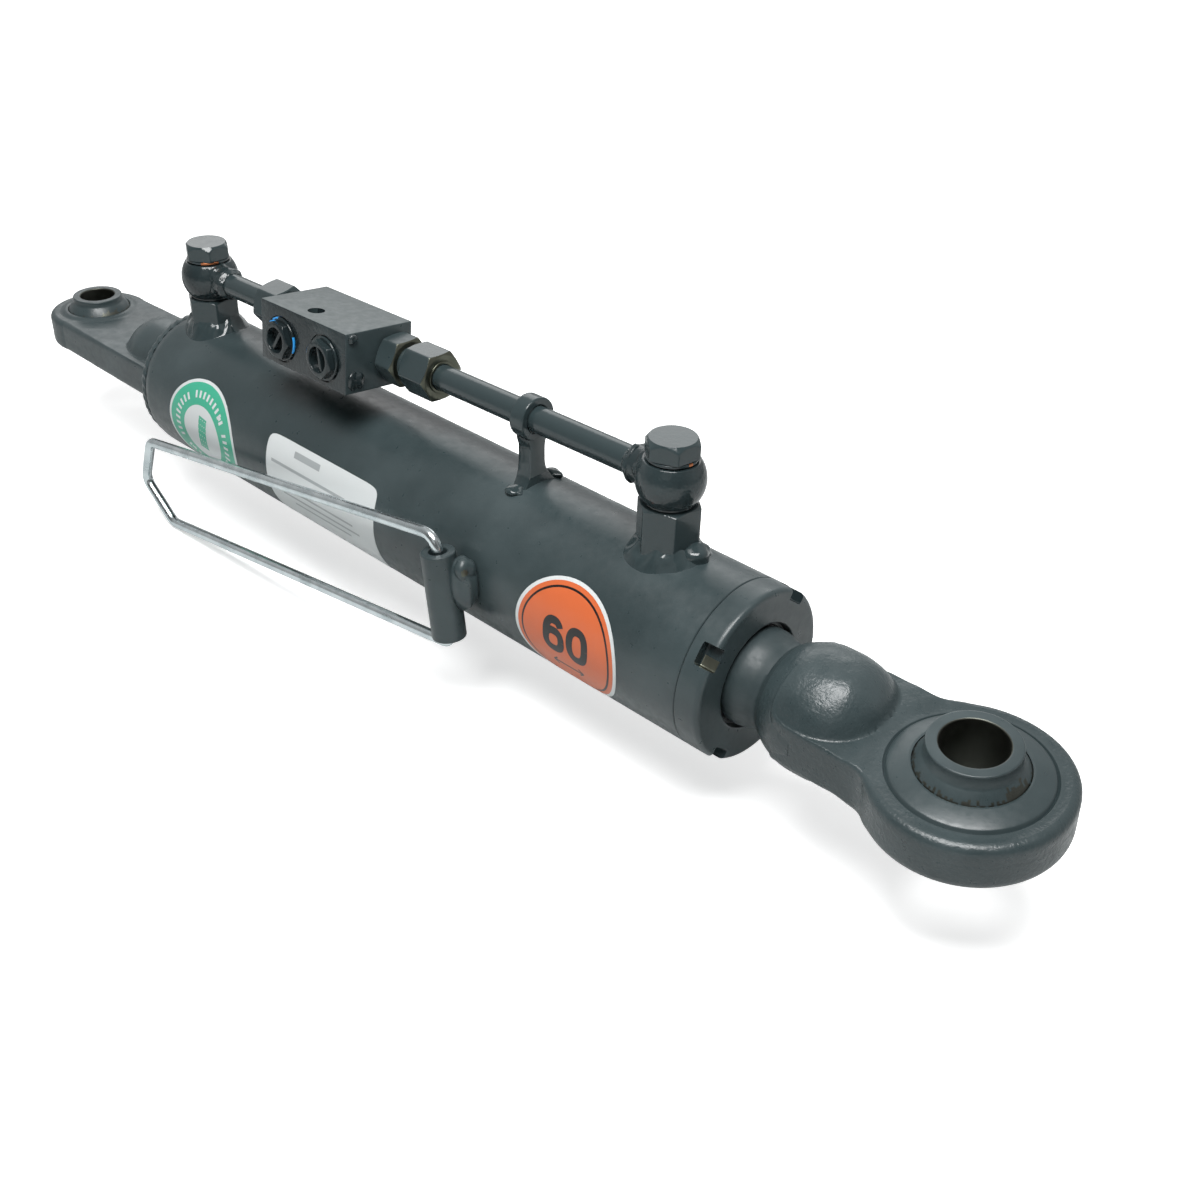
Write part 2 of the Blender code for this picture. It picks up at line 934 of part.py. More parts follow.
# Rod eye: turned neck and body with a domed nose, shank with tangent fillets,
# and the round eye whose crown is coined over the ball
eye_pivot = pivot("rod_eye_pivot", (rod_eye_place, 0, 0), (0, 0, 0), rod_pivot)
neck_low = neck_start - rod_eye_place
neck_high = neck_low + neck_length
waist_place = neck_high + waist_length
body_low = waist_place + flare_length
body_high = body_low + body_length
flare = []
for step in range(arc_steps + 2):
    share = step / (arc_steps + 1)
    swell_share = math.sin(math.pi / 2 * share) ** flare_power
    along = waist_place + flare_length * share
    flare.append((along, waist_radius + (body_radius - waist_radius) * swell_share))
nose = [
    (
        body_high + nose_length * math.sin(t) ** (2 / nose_power),
        body_radius * math.cos(t) ** (2 / nose_power),
    )
    for t in [math.pi / 2 * step / (arc_steps + 2) for step in range(1, arc_steps + 2)]
]
rod_eye = turned(
    "rod_eye",
    [
        (neck_low, 0),
        (neck_low, neck_radius - gland_rim_chamfer),
        (neck_low + gland_rim_chamfer, neck_radius),
        (neck_high, neck_radius),
    ]
    + flare
    + [(body_high, body_radius)]
    + nose
    + [(body_high + nose_length, 0)],
    rod_steps,
    paint,
    parent=eye_pivot,
)
shank = rounded(
    prism(
        "rod_eye_shank",
        shank_plan(
            ring_radius,
            eye_plate_half_width,
            body_low - shank_lead,
            eye_fillet_radius,
        ),
        -eye_plate_half_thickness,
        eye_plate_half_thickness,
        None,
        parent=eye_pivot,
    ),
    eye_plate_edge_radius,
    2,
)
front_seat = front_ball_radius + seat_gap
seat_rim = math.sqrt(front_seat**2 - crown_half_height**2)
crown_slope = (crown_half_height - ring_half_thickness) / (groove_radius - seat_rim)


def crown_height(radius):
    """Height of the coined crown, a cone down to the die mark."""
    return crown_half_height - crown_slope * (radius - seat_rim)


rim_arc = [
    (ring_half_thickness - ring_edge_radius * (1 - math.cos(t)), ring_radius - ring_edge_radius * (1 - math.sin(t)))
    for t in [math.pi / 2 * step / 2 for step in range(3)]
]
upper = [
    (crown_half_height, seat_rim),
    (crown_height(groove_radius - groove_half_width), groove_radius - groove_half_width),
    (ring_half_thickness - groove_depth, groove_radius),
    (ring_half_thickness, groove_radius + groove_half_width),
]
half_section = upper + rim_arc
ring_profile = (
    half_section
    + [(-a, r) for a, r in reversed(half_section)]
    + seat_arc(front_seat, crown_half_height)[1:-1][::-1]
)
ring = turned("rod_eye_ring", ring_profile, eye_steps, None, "Z", parent=eye_pivot)
clear = drill(
    "rod_eye_clear_cutter",
    -crown_half_height,
    crown_half_height,
    groove_radius + groove_half_width,
    "Z",
    eye_steps,
    parent=eye_pivot,
)
fuse(rod_eye, shank)
cut(rod_eye, clear)
fuse(rod_eye, ring)
socket = drill(
    "rod_eye_socket_cutter",
    neck_low - cut_overrun,
    neck_low + rod_spigot_length,
    rod_spigot_radius + seat_gap,
    "X",
    rod_steps,
    parent=eye_pivot,
)
cut(rod_eye, socket)
front_ball_pivot = pivot("front_ball_pivot", (0, 0, 0), (0, 0, 0), eye_pivot)
eye_ball(
    "front_eye_ball",
    front_ball_radius,
    front_ball_width,
    front_collar_radius,
    front_bore_diameter,
    paint,
    front_ball_pivot,
)


def port(label, along, boss_top, boss_turn, bolt_turn, toward):
    """A welded port boss with its weld, and the banjo fitting bolted on it.
    toward is +1 where the pipe leaves along +X."""
    place = pivot(label + "_port", (along, 0, 0))
    foot = barrel_radius - port_foot_depth
    boss = prism(
        label + "_port_boss",
        hexagon(port_hex_across_flats, math.radians(boss_turn)),
        foot,
        boss_top,
        paint,
        parent=place,
    )
    cut(boss, barrel_form(label + "_boss_seat_cutter", seat_gap))
    shank_end = boss_top - bolt_shank_depth
    cut(
        boss,
        drill(
            label + "_boss_bore_cutter",
            shank_end - seat_gap,
            boss_top + cut_overrun,
            bolt_shank_radius + seat_gap,
            steps=fitting_steps,
            parent=place,
        ),
    )
    cut(
        boss,
        drill(
            label + "_boss_passage_cutter",
            foot - cut_overrun,
            boss_top,
            passage_radius,
            parent=place,
        ),
    )
    corner = port_hex_across_flats / 2 / math.cos(math.pi / 6)
    flat = port_hex_across_flats / 2
    weld_top = barrel_radius + port_weld_height
    weld_root = port_foot_depth * port_weld_root_share
    weld = turned(
        label + "_port_weld",
        [
            (weld_top, flat - weld_root),
            (weld_top, flat + seat_gap),
            (barrel_radius + port_weld_height / 2, (corner + flat) / 2 + seat_gap),
            (barrel_radius + port_weld_height * port_weld_toe_share, corner + seat_gap),
            (barrel_radius - weld_root, port_weld_radius),
            (foot, port_weld_radius),
            (foot, flat - weld_root),
        ],
        fitting_steps,
        paint,
        "Z",
        parent=place,
    )
    cut(weld, barrel_form(label + "_weld_seat_cutter", seat_gap))
    hex_clear = prism(
        label + "_weld_hex_cutter",
        hexagon(port_hex_across_flats + 2 * seat_gap, math.radians(boss_turn)),
        foot - cut_overrun,
        boss_top,
        None,
        parent=place,
    )
    cut(weld, hex_clear)
    centre = boss_top + washer_thickness + banjo_height / 2
    low = centre - banjo_height / 2 + seat_gap
    high = centre + banjo_height / 2 - seat_gap
    lean = math.asin((high - centre) / banjo_radius)
    count = 2 * arc_steps
    side = [
        (centre + banjo_radius * math.sin(t), banjo_radius * math.cos(t))
        for t in [lean - 2 * lean * step / count for step in range(count + 1)]
    ]
    hole = bolt_shank_radius + seat_gap
    banjo = turned(
        label + "_banjo",
        [(high, hole)] + side + [(low, hole)],
        fitting_steps,
        paint,
        "Z",
        parent=place,
    )
    heading = (0, -line_slope, 0)
    stub = turned(
        label + "_banjo_stub",
        rod_profile(
            toward * hole * banjo_stub_start_share,
            toward * banjo_stub_length,
            banjo_stub_radius,
        ),
        fitting_steps,
        None,
        parent=place,
        location=(0, 0, centre),
        rotation=heading,
    )
    fuse(banjo, stub)
    socket_start = banjo_stub_length - pipe_insertion
    gallery = drill(
        label + "_banjo_gallery_cutter",
        centre - banjo_gallery_length / 2,
        centre + banjo_gallery_length / 2,
        hole + banjo_gallery_depth,
        steps=fitting_steps,
        parent=place,
    )
    cut(banjo, gallery)
    socket = turned(
        label + "_banjo_socket_cutter",
        [
            (toward * bolt_cross_radius, 0),
            (toward * bolt_cross_radius, pipe_radius - pipe_wall),
            (toward * socket_start, pipe_radius - pipe_wall),
            (toward * socket_start, pipe_radius + seat_gap),
            (toward * (banjo_stub_length + cut_overrun), pipe_radius + seat_gap),
            (toward * (banjo_stub_length + cut_overrun), 0),
        ],
        fitting_steps,
        None,
        parent=place,
        location=(0, 0, centre),
        rotation=heading,
    )
    cut(banjo, socket)
    for name, start in (("lower", boss_top), ("upper", centre + banjo_height / 2)):
        turned(
            f"{label}_{name}_washer",
            tube_profile(
                start + seat_gap,
                start + washer_thickness,
                bolt_shank_radius + seat_gap,
                washer_radius,
            ),
            fitting_steps,
            copper,
            "Z",
            parent=place,
        )
    head_low = centre + banjo_height / 2 + washer_thickness + seat_gap
    head_high = head_low + bolt_head_height
    bolt = prism(
        label + "_banjo_bolt",
        hexagon(bolt_across_flats, math.radians(bolt_turn)),
        head_low - cut_overrun,
        head_high + cut_overrun,
        paint,
        parent=place,
    )
    keep(
        bolt,
        turned(
            label + "_bolt_blank",
            hex_blank(head_low, head_high, bolt_across_flats),
            fitting_steps,
            None,
            "Z",
            parent=place,
        ),
    )
    fuse(
        bolt,
        drill(
            label + "_bolt_shank",
            shank_end,
            head_low + bolt_head_height / 2,
            bolt_shank_radius,
            steps=fitting_steps,
            parent=place,
        ),
    )
    cut(
        bolt,
        drill(
            label + "_bolt_bore_cutter",
            shank_end - cut_overrun,
            centre + bolt_cross_radius,
            bolt_drill_radius,
            parent=place,
        ),
    )
    cut(
        bolt,
        drill(
            label + "_bolt_cross_cutter",
            -bolt_shank_radius - cut_overrun,
            bolt_shank_radius + cut_overrun,
            bolt_cross_radius,
            "X",
            parent=place,
            location=(0, 0, centre),
        ),
    )


port("rear", rear_port_place, rear_boss_top, rear_port_turn, rear_bolt_turn, 1)
port("front", front_port_place, front_boss_top, front_port_turn, front_bolt_turn, -1)

# The pipe line runs straight between the banjos, and its pieces are placed by
# their distance from the rear one
line = pivot("pipe_line", (rear_port_place, 0, rear_banjo_centre), (0, -line_slope, 0))


def along_line(place):
    return (place - rear_port_place) / math.cos(line_slope)


block_middle = along_line(block_place)
block_low = block_middle - block_length / 2
block_high = block_middle + block_length / 2
socket_floor = banjo_stub_length - pipe_insertion + seat_gap

# Valve block, turned a little about the pipe line and hanging to one side
block_pivot = pivot(
    "block_pivot",
    (block_middle, 0, 0),
    (-math.radians(block_roll), 0, 0),
    line,
)
roll_back = math.radians(block_roll)
block_y = -block_side_offset * math.cos(roll_back) - block_lift * math.sin(roll_back)
block_z = block_lift * math.cos(roll_back) - block_side_offset * math.sin(roll_back)
half_width = block_width / 2
half_height = block_height / 2
block = prism(
    "valve_block",
    [(block_y + a, block_z + b) for a, b in box_outline(half_width, half_height)],
    -block_length / 2,
    block_length / 2,
    paint,
    "X",
    parent=block_pivot,
)
rounded(block, block_edge, 2)
near_face = block_y - half_width
port_level = block_z - hose_port_drop
cut(
    block,
    drill(
        "block_hole_cutter",
        block_z - half_height - cut_overrun,
        block_z + half_height + cut_overrun,
        block_hole_radius,
        steps=fitting_steps,
        parent=block_pivot,
        location=(-block_hole_setback, near_face + block_hole_inset, 0),
    ),
)
pilot_bore_length = block_length - 2 * (block_thread_depth + chamber_length)
bore_steps = [
    (-block_length / 2 - cut_overrun, 0),
    (-block_length / 2 - cut_overrun, block_thread_radius + seat_gap),
    (-block_length / 2 + block_thread_depth, block_thread_radius + seat_gap),
    (-block_length / 2 + block_thread_depth, chamber_radius),
    (-pilot_bore_length / 2, chamber_radius),
    (-pilot_bore_length / 2, pilot_bore_radius),
]
bore_steps += [(-a, r) for a, r in reversed(bore_steps)]
cut(block, turned("block_bore_cutter", bore_steps, fitting_steps, None, parent=block_pivot))
sideways = (math.pi / 2, 0, 0)
ports = {"rear": -hose_port_spacing / 2, "front": hose_port_spacing / 2}
for label, offset in ports.items():
    port_cutter = turned(
        label + "_hose_port_cutter",
        [
            (cut_overrun, 0),
            (cut_overrun, hose_face_radius),
            (-hose_face_depth, hose_face_radius),
            (-hose_face_depth, hose_port_radius),
            (-hose_port_depth, hose_port_radius),
            (-hose_port_depth, hose_passage_radius),
            (near_face, hose_passage_radius),
            (near_face, 0),
        ],
        fitting_steps,
        None,
        "Z",
        parent=block_pivot,
        location=(offset, near_face, port_level),
        rotation=sideways,
    )
    cut(block, port_cutter)
for label, level in (("upper", stop_plug_drop), ("lower", -stop_plug_drop)):
    knob = turned(
        label + "_stop_plug",
        rod_profile(
            -cut_overrun,
            stop_plug_height,
            stop_plug_radius,
            stop_plug_height / 2,
        ),
        fitting_steps,
        None,
        parent=block_pivot,
        location=(block_length / 2, near_face + stop_plug_radius * stop_plug_inset_share, block_z + level),
    )
    fuse(block, knob)

# Pilot piston and the two poppets, on the block's long bore
pilot_radius = pilot_bore_radius - pilot_clearance
touch = pilot_bore_length / 2 - poppet_nose * poppet_entry_share + seat_gap
pilot_tip = touch - pilot_rest_gap
pilot_half = pilot_tip * pilot_body_share
turned(
    "pilot_piston",
    [
        (-pilot_tip, 0),
        (-pilot_tip, pilot_pin_radius),
        (-pilot_half, pilot_pin_radius),
        (-pilot_half, pilot_radius),
        (pilot_half, pilot_radius),
        (pilot_half, pilot_pin_radius),
        (pilot_tip, pilot_pin_radius),
        (pilot_tip, 0),
    ],
    fitting_steps,
    steel,
    parent=block_pivot,
)
nose_radius = pilot_bore_radius * poppet_nose_share
for label, side in (("rear", -1), ("front", 1)):
    poppet_profile = [
        (touch, 0),
        (touch, nose_radius),
        (touch + poppet_nose, poppet_radius),
        (touch + poppet_nose + poppet_length, poppet_radius),
        (touch + poppet_nose + poppet_length, 0),
    ]
    turned(
        label + "_poppet",
        [(side * a, r) for a, r in poppet_profile],
        fitting_steps,
        steel,
        parent=block_pivot,
    )


def fitting(label, side, neck, hex_length, union_length, turn, pipe_from, pipe_to):
    """The adapter screwed in one end of the block, its union nut, cutting
    ring and pipe. side is +1 toward the rod eye."""
    end = block_middle + side * block_length / 2
    face = end + side * seat_gap
    root = end - side * (block_thread_depth - seat_gap)
    tip = face + side * neck
    counter = tip - side * pipe_insertion
    pipe_bore = pipe_radius + seat_gap
    adapter = turned(
        label + "_adapter",
        [
            (root, adapter_flow_radius),
            (root, block_thread_radius),
            (face, block_thread_radius),
            (face, adapter_neck_radius),
            (tip - side * adapter_tip_chamfer, adapter_neck_radius),
            (tip, adapter_neck_radius - adapter_tip_chamfer / 2),
            (tip, pipe_bore),
            (counter, pipe_bore),
            (counter, adapter_flow_radius),
        ],
        fitting_steps,
        paint,
        parent=line,
    )
    if hex_length:
        flats = prism(
            label + "_adapter_hex",
            hexagon(adapter_hex_across_flats),
            min(face, face + side * hex_length),
            max(face, face + side * hex_length),
            None,
            "X",
            parent=line,
        )
        middle = adapter_neck_radius - adapter_tip_chamfer
        core = drill(
            label + "_adapter_core_cutter",
            min(root, tip),
            max(root, tip),
            middle,
            "X",
            fitting_steps,
            parent=line,
        )
        cut(flats, core)
        fuse(adapter, flats)
    nut_from = tip - side * (union_length - union_grip - ring_length)
    nut_to = nut_from + side * union_length
    low = min(nut_from, nut_to)
    high = max(nut_from, nut_to)
    nut = prism(
        label + "_union_nut",
        hexagon(union_across_flats, math.radians(turn)),
        low - cut_overrun,
        high + cut_overrun,
        paint,
        "X",
        parent=line,
    )
    blank = turned(
        label + "_union_blank",
        hex_blank(low, high, union_across_flats, True),
        fitting_steps,
        None,
        parent=line,
    )
    keep(nut, blank)
    grip = nut_to - side * union_grip
    hollow = turned(
        label + "_union_cutter",
        [
            (nut_from - side * cut_overrun, 0),
            (nut_from - side * cut_overrun, adapter_neck_radius + seat_gap),
            (grip - side * ring_wall, adapter_neck_radius + seat_gap),
            (grip, pipe_bore),
            (nut_to + side * cut_overrun, pipe_bore),
            (nut_to + side * cut_overrun, 0),
        ],
        fitting_steps,
        None,
        parent=line,
    )
    cut(nut, hollow)
    ring_from = tip + side * seat_gap
    ring_to = grip - side * (ring_wall + seat_gap)
    turned(
        label + "_cutting_ring",
        tube_profile(ring_from, ring_to, pipe_bore, pipe_bore + ring_wall),
        fitting_steps,
        steel,
        parent=line,
    )
    turned(
        label + "_pipe",
        tube_profile(pipe_from, pipe_to, pipe_radius - pipe_wall, pipe_radius),
        fitting_steps,
        paint,
        parent=line,
    )


inner_end = pipe_insertion - seat_gap
front_tip = block_high + seat_gap + front_neck_length
rear_tip = block_low - seat_gap - rear_neck_length
fitting(
    "front",
    1,
    front_neck_length,
    adapter_hex_length,
    front_union_length,
    front_union_turn,
    front_tip - inner_end,
    line_length - socket_floor,
)
fitting(
    "rear",
    -1,
    rear_neck_length,
    0,
    rear_union_length,
    rear_union_turn,
    socket_floor,
    rear_tip + inner_end,
)

# Port plugs in the block's near face
for label, offset in ports.items():
    spot = pivot(
        label + "_plug_place",
        (offset, near_face + hose_face_depth, port_level),
        sideways,
        block_pivot,
    )
    flange_top = seat_gap + plug_flange_thickness
    plug = turned(
        label + "_port_plug",
        [
            (seat_gap, 0),
            (seat_gap, plug_flange_radius),
            (flange_top, plug_flange_radius),
            (flange_top, 0),
        ],
        fitting_steps,
        cap_plastic,
        "Z",
        parent=spot,
    )
    crown = prism(
        label + "_plug_crown",
        hexagon(plug_across_flats),
        seat_gap + plug_flange_thickness / 2,
        flange_top + plug_rise,
        None,
        parent=spot,
    )
    fuse(plug, crown)
    shank_radius = hose_port_radius - seat_gap
    stem = drill(
        label + "_plug_stem",
        -plug_shank_length,
        seat_gap + plug_flange_thickness * plug_shank_entry_share,
        shank_radius,
        steps=fitting_steps,
        parent=spot,
    )
    fuse(plug, stem)
    for half in (-1, 1):
        well = arc((0, 0), plug_well_radius, 0, math.pi, 2 * arc_steps)
        trimmed = [(a, max(b, plug_rib / 2)) for a, b in well]
        trimmed[0] = (trimmed[0][0], plug_rib / 2)
        pocket = prism(
            f"{label}_plug_pocket_{half}",
            [(a, half * b) for a, b in trimmed],
            flange_top + plug_rise - plug_well_depth,
            flange_top + plug_rise + cut_overrun,
            None,
            parent=spot,
        )
        cut(plug, pocket)

# Clip: a ring round the front pipe on a waisted leg welded to the barrel
clip_line = along_line(clip_place)
pipe_height = rear_banjo_centre + math.tan(line_slope) * (clip_place - rear_port_place)
clip_outer = pipe_radius + clip_wall
waist_height = barrel_radius + (pipe_height - clip_outer - barrel_radius) * clip_waist_share
foot_half = clip_foot / 2
foot_height = math.sqrt(barrel_radius**2 - foot_half**2) - seat_gap
foot_rise = clip_wall * clip_foot_share
waist_half = clip_waist / 2
lean = math.asin(waist_half / clip_outer)
right = [
    (foot_half, foot_height - foot_rise),
    (foot_half, foot_height + foot_rise),
]
for step in range(1, arc_steps):
    share = step / arc_steps
    ease = (1 - share) ** clip_ease_power
    level = foot_height + foot_rise + (waist_height - foot_height - foot_rise) * share
    right.append((waist_half + (foot_half - waist_half) * ease, level))
right.append((waist_half, waist_height))
loop = arc((0, pipe_height), clip_outer, -math.pi / 2 + lean, math.pi / 2, 2 * arc_steps)
right += loop
outline = right + [(-a, b) for a, b in reversed(right[:-1])]
clip = prism(
    "pipe_clip",
    outline,
    clip_place - clip_width / 2,
    clip_place + clip_width / 2,
    paint,
    "X",
)
cut(clip, barrel_form("clip_seat_cutter", seat_gap))
cut(
    clip,
    drill(
        "clip_bore_cutter",
        clip_line - clip_width,
        clip_line + clip_width,
        pipe_radius + seat_gap,
        "X",
        fitting_steps,
        parent=line,
    ),
)

# Bail: a wire loop that swings in a sleeve welded on the barrel's side
sleeve_side = -(barrel_radius + sleeve_radius + sleeve_standoff)
hinge = pivot(
    "bail_hinge",
    (sleeve_place, sleeve_side, -sleeve_drop),
    (0, -math.radians(bail_lean), 0),
)
wire_radius = bail_wire / 2
sleeve_bore = wire_radius + sleeve_clearance
turned(
    "bail_sleeve",
    [
        (sleeve_half_length, sleeve_bore + sleeve_mouth),
        (sleeve_half_length, sleeve_radius),
        (-sleeve_half_length, sleeve_radius),
        (-sleeve_half_length, sleeve_bore + sleeve_mouth),
        (-sleeve_half_length + sleeve_mouth, sleeve_bore),
        (sleeve_half_length - sleeve_mouth, sleeve_bore),
    ],
    fitting_steps,
    paint,
    "Z",
    parent=hinge,
)
run_height = sleeve_half_length + bail_mouth_rise
leg_end = sleeve_half_length - bail_leg
corners = [
    (0, leg_end, 0),
    (0, run_height, bail_bend_radius),
    (-bail_top_corner, bail_top_height, bail_corner_radius),
    (-bail_reach, bail_nose_height, bail_corner_radius),
    (-bail_low_corner, bail_low_height, bail_corner_radius),
    (0, -run_height, bail_bend_radius),
    (0, -leg_end, 0),
]


def filleted(points, steps):
    """Rounds each corner of an open path; each point is (x, z, radius)."""
    path = []
    for index, (x, z, radius) in enumerate(points):
        here = Vector((x, z))
        if not radius:
            path.append(here)
            continue
        before = (Vector(points[index - 1][:2]) - here).normalized()
        after = (Vector(points[index + 1][:2]) - here).normalized()
        half = before.angle(after) / 2
        back = radius / math.tan(half)
        middle = here + (before + after).normalized() * (radius / math.sin(half))
        start = here + before * back - middle
        turn = start.angle_signed(here + after * back - middle)
        for step in range(steps + 1):
            angle = -turn * step / steps
            path.append(middle + Matrix.Rotation(angle, 2) @ start)
    return path


wire = bpy.data.curves.new("bail", "CURVE")
wire.dimensions = "3D"
wire.bevel_depth = wire_radius
wire.bevel_resolution = 2
wire.use_fill_caps = True
route = filleted(corners, wire_steps)
spline = wire.splines.new("POLY")
spline.points.add(len(route) - 1)
for point, (x, z) in zip(spline.points, route):
    point.co = (x, 0, z, 1)
wire.materials.append(zinc)
bail = bpy.data.objects.new("bail", wire)
bpy.context.scene.collection.objects.link(bail)
bail.parent = hinge

# Weld lug that joins the sleeve to the barrel
lug_mesh = bpy.data.meshes.new("bail_lug")
bm = bmesh.new()
bmesh.ops.create_uvsphere(bm, u_segments=fitting_steps, v_segments=2 * arc_steps, radius=1)
bmesh.ops.scale(bm, verts=bm.verts, vec=(lug_reach, lug_depth, lug_length))
bm.to_mesh(lug_mesh)
bm.free()
lug = put(
    "bail_lug",
    lug_mesh,
    paint,
    parent=hinge,
    location=(*[sleeve_radius * share for share in lug_offset_shares], lug_rise),
)
cut(lug, barrel_form("lug_seat_cutter", seat_gap))
cut(
    lug,
    drill(
        "lug_sleeve_cutter",
        -sleeve_half_length - cut_overrun,
        sleeve_half_length + cut_overrun,
        sleeve_radius + seat_gap,
        steps=fitting_steps,
        parent=hinge,
    ),
)
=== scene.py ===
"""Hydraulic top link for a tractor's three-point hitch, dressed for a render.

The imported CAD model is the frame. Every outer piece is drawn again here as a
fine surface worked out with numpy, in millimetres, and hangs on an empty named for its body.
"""

import math

import bmesh
import bpy
import numpy as np
from bpy.props import FloatProperty, FloatVectorProperty, IntProperty, PointerProperty
from mathutils import Matrix, Vector


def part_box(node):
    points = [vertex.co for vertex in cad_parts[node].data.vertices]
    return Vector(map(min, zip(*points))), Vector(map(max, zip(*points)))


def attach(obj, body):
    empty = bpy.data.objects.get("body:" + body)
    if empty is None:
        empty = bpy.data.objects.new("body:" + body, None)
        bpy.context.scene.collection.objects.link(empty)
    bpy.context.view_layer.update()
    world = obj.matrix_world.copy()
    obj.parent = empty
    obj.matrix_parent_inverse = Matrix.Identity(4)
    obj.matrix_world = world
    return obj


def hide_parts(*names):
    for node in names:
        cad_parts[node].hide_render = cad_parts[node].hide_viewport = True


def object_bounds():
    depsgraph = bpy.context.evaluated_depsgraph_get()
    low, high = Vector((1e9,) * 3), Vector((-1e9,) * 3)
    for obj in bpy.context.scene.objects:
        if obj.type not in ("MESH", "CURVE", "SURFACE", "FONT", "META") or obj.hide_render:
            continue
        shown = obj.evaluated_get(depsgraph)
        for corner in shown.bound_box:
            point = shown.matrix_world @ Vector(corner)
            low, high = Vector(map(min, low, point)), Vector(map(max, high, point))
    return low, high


bl_info = {
    "name": "Hydraulic top link",
    "version": (1, 0, 0),
    "blender": (4, 5, 0),
    "location": "3D View > Sidebar > Top Link",
    "description": "Dresses the packed top link and sets its studio",
    "category": "Object",
}

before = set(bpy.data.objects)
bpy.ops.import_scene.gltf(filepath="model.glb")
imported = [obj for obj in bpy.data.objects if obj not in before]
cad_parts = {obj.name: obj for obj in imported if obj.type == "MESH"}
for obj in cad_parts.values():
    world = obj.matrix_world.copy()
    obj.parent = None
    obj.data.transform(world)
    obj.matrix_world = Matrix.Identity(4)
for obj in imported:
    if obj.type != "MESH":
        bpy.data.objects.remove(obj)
cad_box = [list(corner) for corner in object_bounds()]


def linear(code):
    """An sRGB hex colour as linear red, green and blue."""
    channels = [int(code[i : i + 2], 16) / 255 for i in (1, 3, 5)]
    return tuple(c / 12.92 if c <= 0.04045 else ((c + 0.055) / 1.055) ** 2.4 for c in channels)


def colour(label, code):
    return FloatVectorProperty(
        name=label, description=label, subtype="COLOR", size=3, min=0, max=1, default=linear(code)
    )


def length(label, value, about):
    return FloatProperty(name=label, description=about, default=value / 1000, unit="LENGTH", precision=4)


class LinkColours(bpy.types.PropertyGroup):
    """Colours of the paint, the bare metals, the plastics and the labels."""

    enamel: colour("Enamel", "#2E393B")
    enamel_thin: colour("Enamel where it is thin", "#3C4749")
    # Darker run enamel; on the valve block's near face it is also painted shade.
    enamel_thick_and_shaded: colour("Enamel where it ran", "#1B2325")
    # Paler matt enamel: a painted highlight on the valve block's top, and a paler band on the pipe clip.
    enamel_paler_and_lit: colour("Enamel where it is dry", "#4B5354")
    bare_steel: colour("Bare steel", "#63655A")
    bore_steel: colour("Bore steel, browned", "#565852")
    chrome: colour("Hard chrome", "#C9CCCE")
    zinc: colour("Zinc plate", "#DDE5E7")
    copper: colour("Copper washers", "#B4714E")
    bronze: colour("Bronze rings", "#A98A52")
    nitrile: colour("Nitrile rubber", "#1B1B1C")
    polyurethane: colour("Polyurethane seals", "#2B6F86")
    cap: colour("Port caps", "#2F93DA")
    orange: colour("Orange label", "#CB6438")
    green: colour("Green label", "#3FA788")
    paper: colour("White label", "#CCD0D0")
    ink: colour("Label ink", "#141515")
    floor: colour("Floor", "#F4F5F5")


class LinkSizes(bpy.types.PropertyGroup):
    """Sizes of the finish and of the small forms drawn here."""

    steps: IntProperty(name="Steps round", description="Quads round a turned piece", default=160, min=24)
    peel: length("Orange peel", 2.2, "Width of a ripple in the sprayed enamel")
    scale: length("Forging scale", 3.2, "Width of a dimple on the forged eyes")
    ripple: length("Weld ripple", 0.35, "Height of the ripples on the weld beads")
    label_lift: length("Label lift", 0.12, "Thickness of a label and its glue")


class LinkStage(bpy.types.PropertyGroup):
    """Camera and light."""

    lens: FloatProperty(name="Lens", description="Focal length on a 36 mm sensor", default=43.58)
    roll: FloatProperty(name="Roll", description="Turn about the view", default=-0.0299, subtype="ANGLE")
    key: FloatProperty(name="Overhead light", description="Power of the overhead softbox", default=22.0)
    fill: FloatProperty(name="Fill light", description="Power of the light by the camera", default=0.6)
    side: FloatProperty(name="Side light", description="Power of the light behind the rear eye", default=5.5)
    room: FloatProperty(name="Room light", description="Strength of the white room", default=0.5)
    dark: FloatProperty(name="Dark side", description="Share of room light behind the camera", default=0.2)


# Places and sizes that the drawn pieces share, in millimetres


def low(node, axis):
    """The lowest place of a CAD node on an axis, in millimetres."""
    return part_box(node)[0][axis] * 1000


def high(node, axis):
    """The highest place of a CAD node on an axis, in millimetres."""
    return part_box(node)[1][axis] * 1000


def turn(axis, angle):
    return np.array(Matrix.Rotation(angle, 4, axis))


def shift(x, y, z):
    return np.array(Matrix.Translation((x, y, z)))


def placed(points, matrix):
    """Points of any array shape carried by a 4 by 4 matrix."""
    return points @ matrix[:3, :3].T + matrix[:3, 3]


def along_line(place):
    """The length along the pipe line at a place along the barrel."""
    return (place - REAR_PORT) / math.cos(LINE_SLOPE)


HERE = np.eye(4)
FIT = 0.3
BARREL_R, BORE_R, ROD_R = 38.0, 31.5, 17.5
BARREL_START, BARREL_MOUTH = low("barrel_tube", 0), high("barrel_tube", 0)
GLAND_FRONT = high("gland_head", 0)
GLAND_RECESS = 4.0
NECK_START = GLAND_FRONT - GLAND_RECESS + 1
EYE_PLACE = 600.0
ROD_ROLL = math.radians(6)
REAR_PORT, FRONT_PORT = 128.0, 450.5
REAR_LEVEL, FRONT_LEVEL = 64.7, 70.2
LINE_SLOPE = math.atan2(FRONT_LEVEL - REAR_LEVEL, FRONT_PORT - REAR_PORT)
BLOCK_PLACE, BLOCK_ROLL = along_line(246.1), -math.radians(6)
BLOCK_HALF = (32.25, 19.25, 14.5)
HINGE_PLACE, HINGE_LEAN = (364, -47, -4), -math.radians(8)

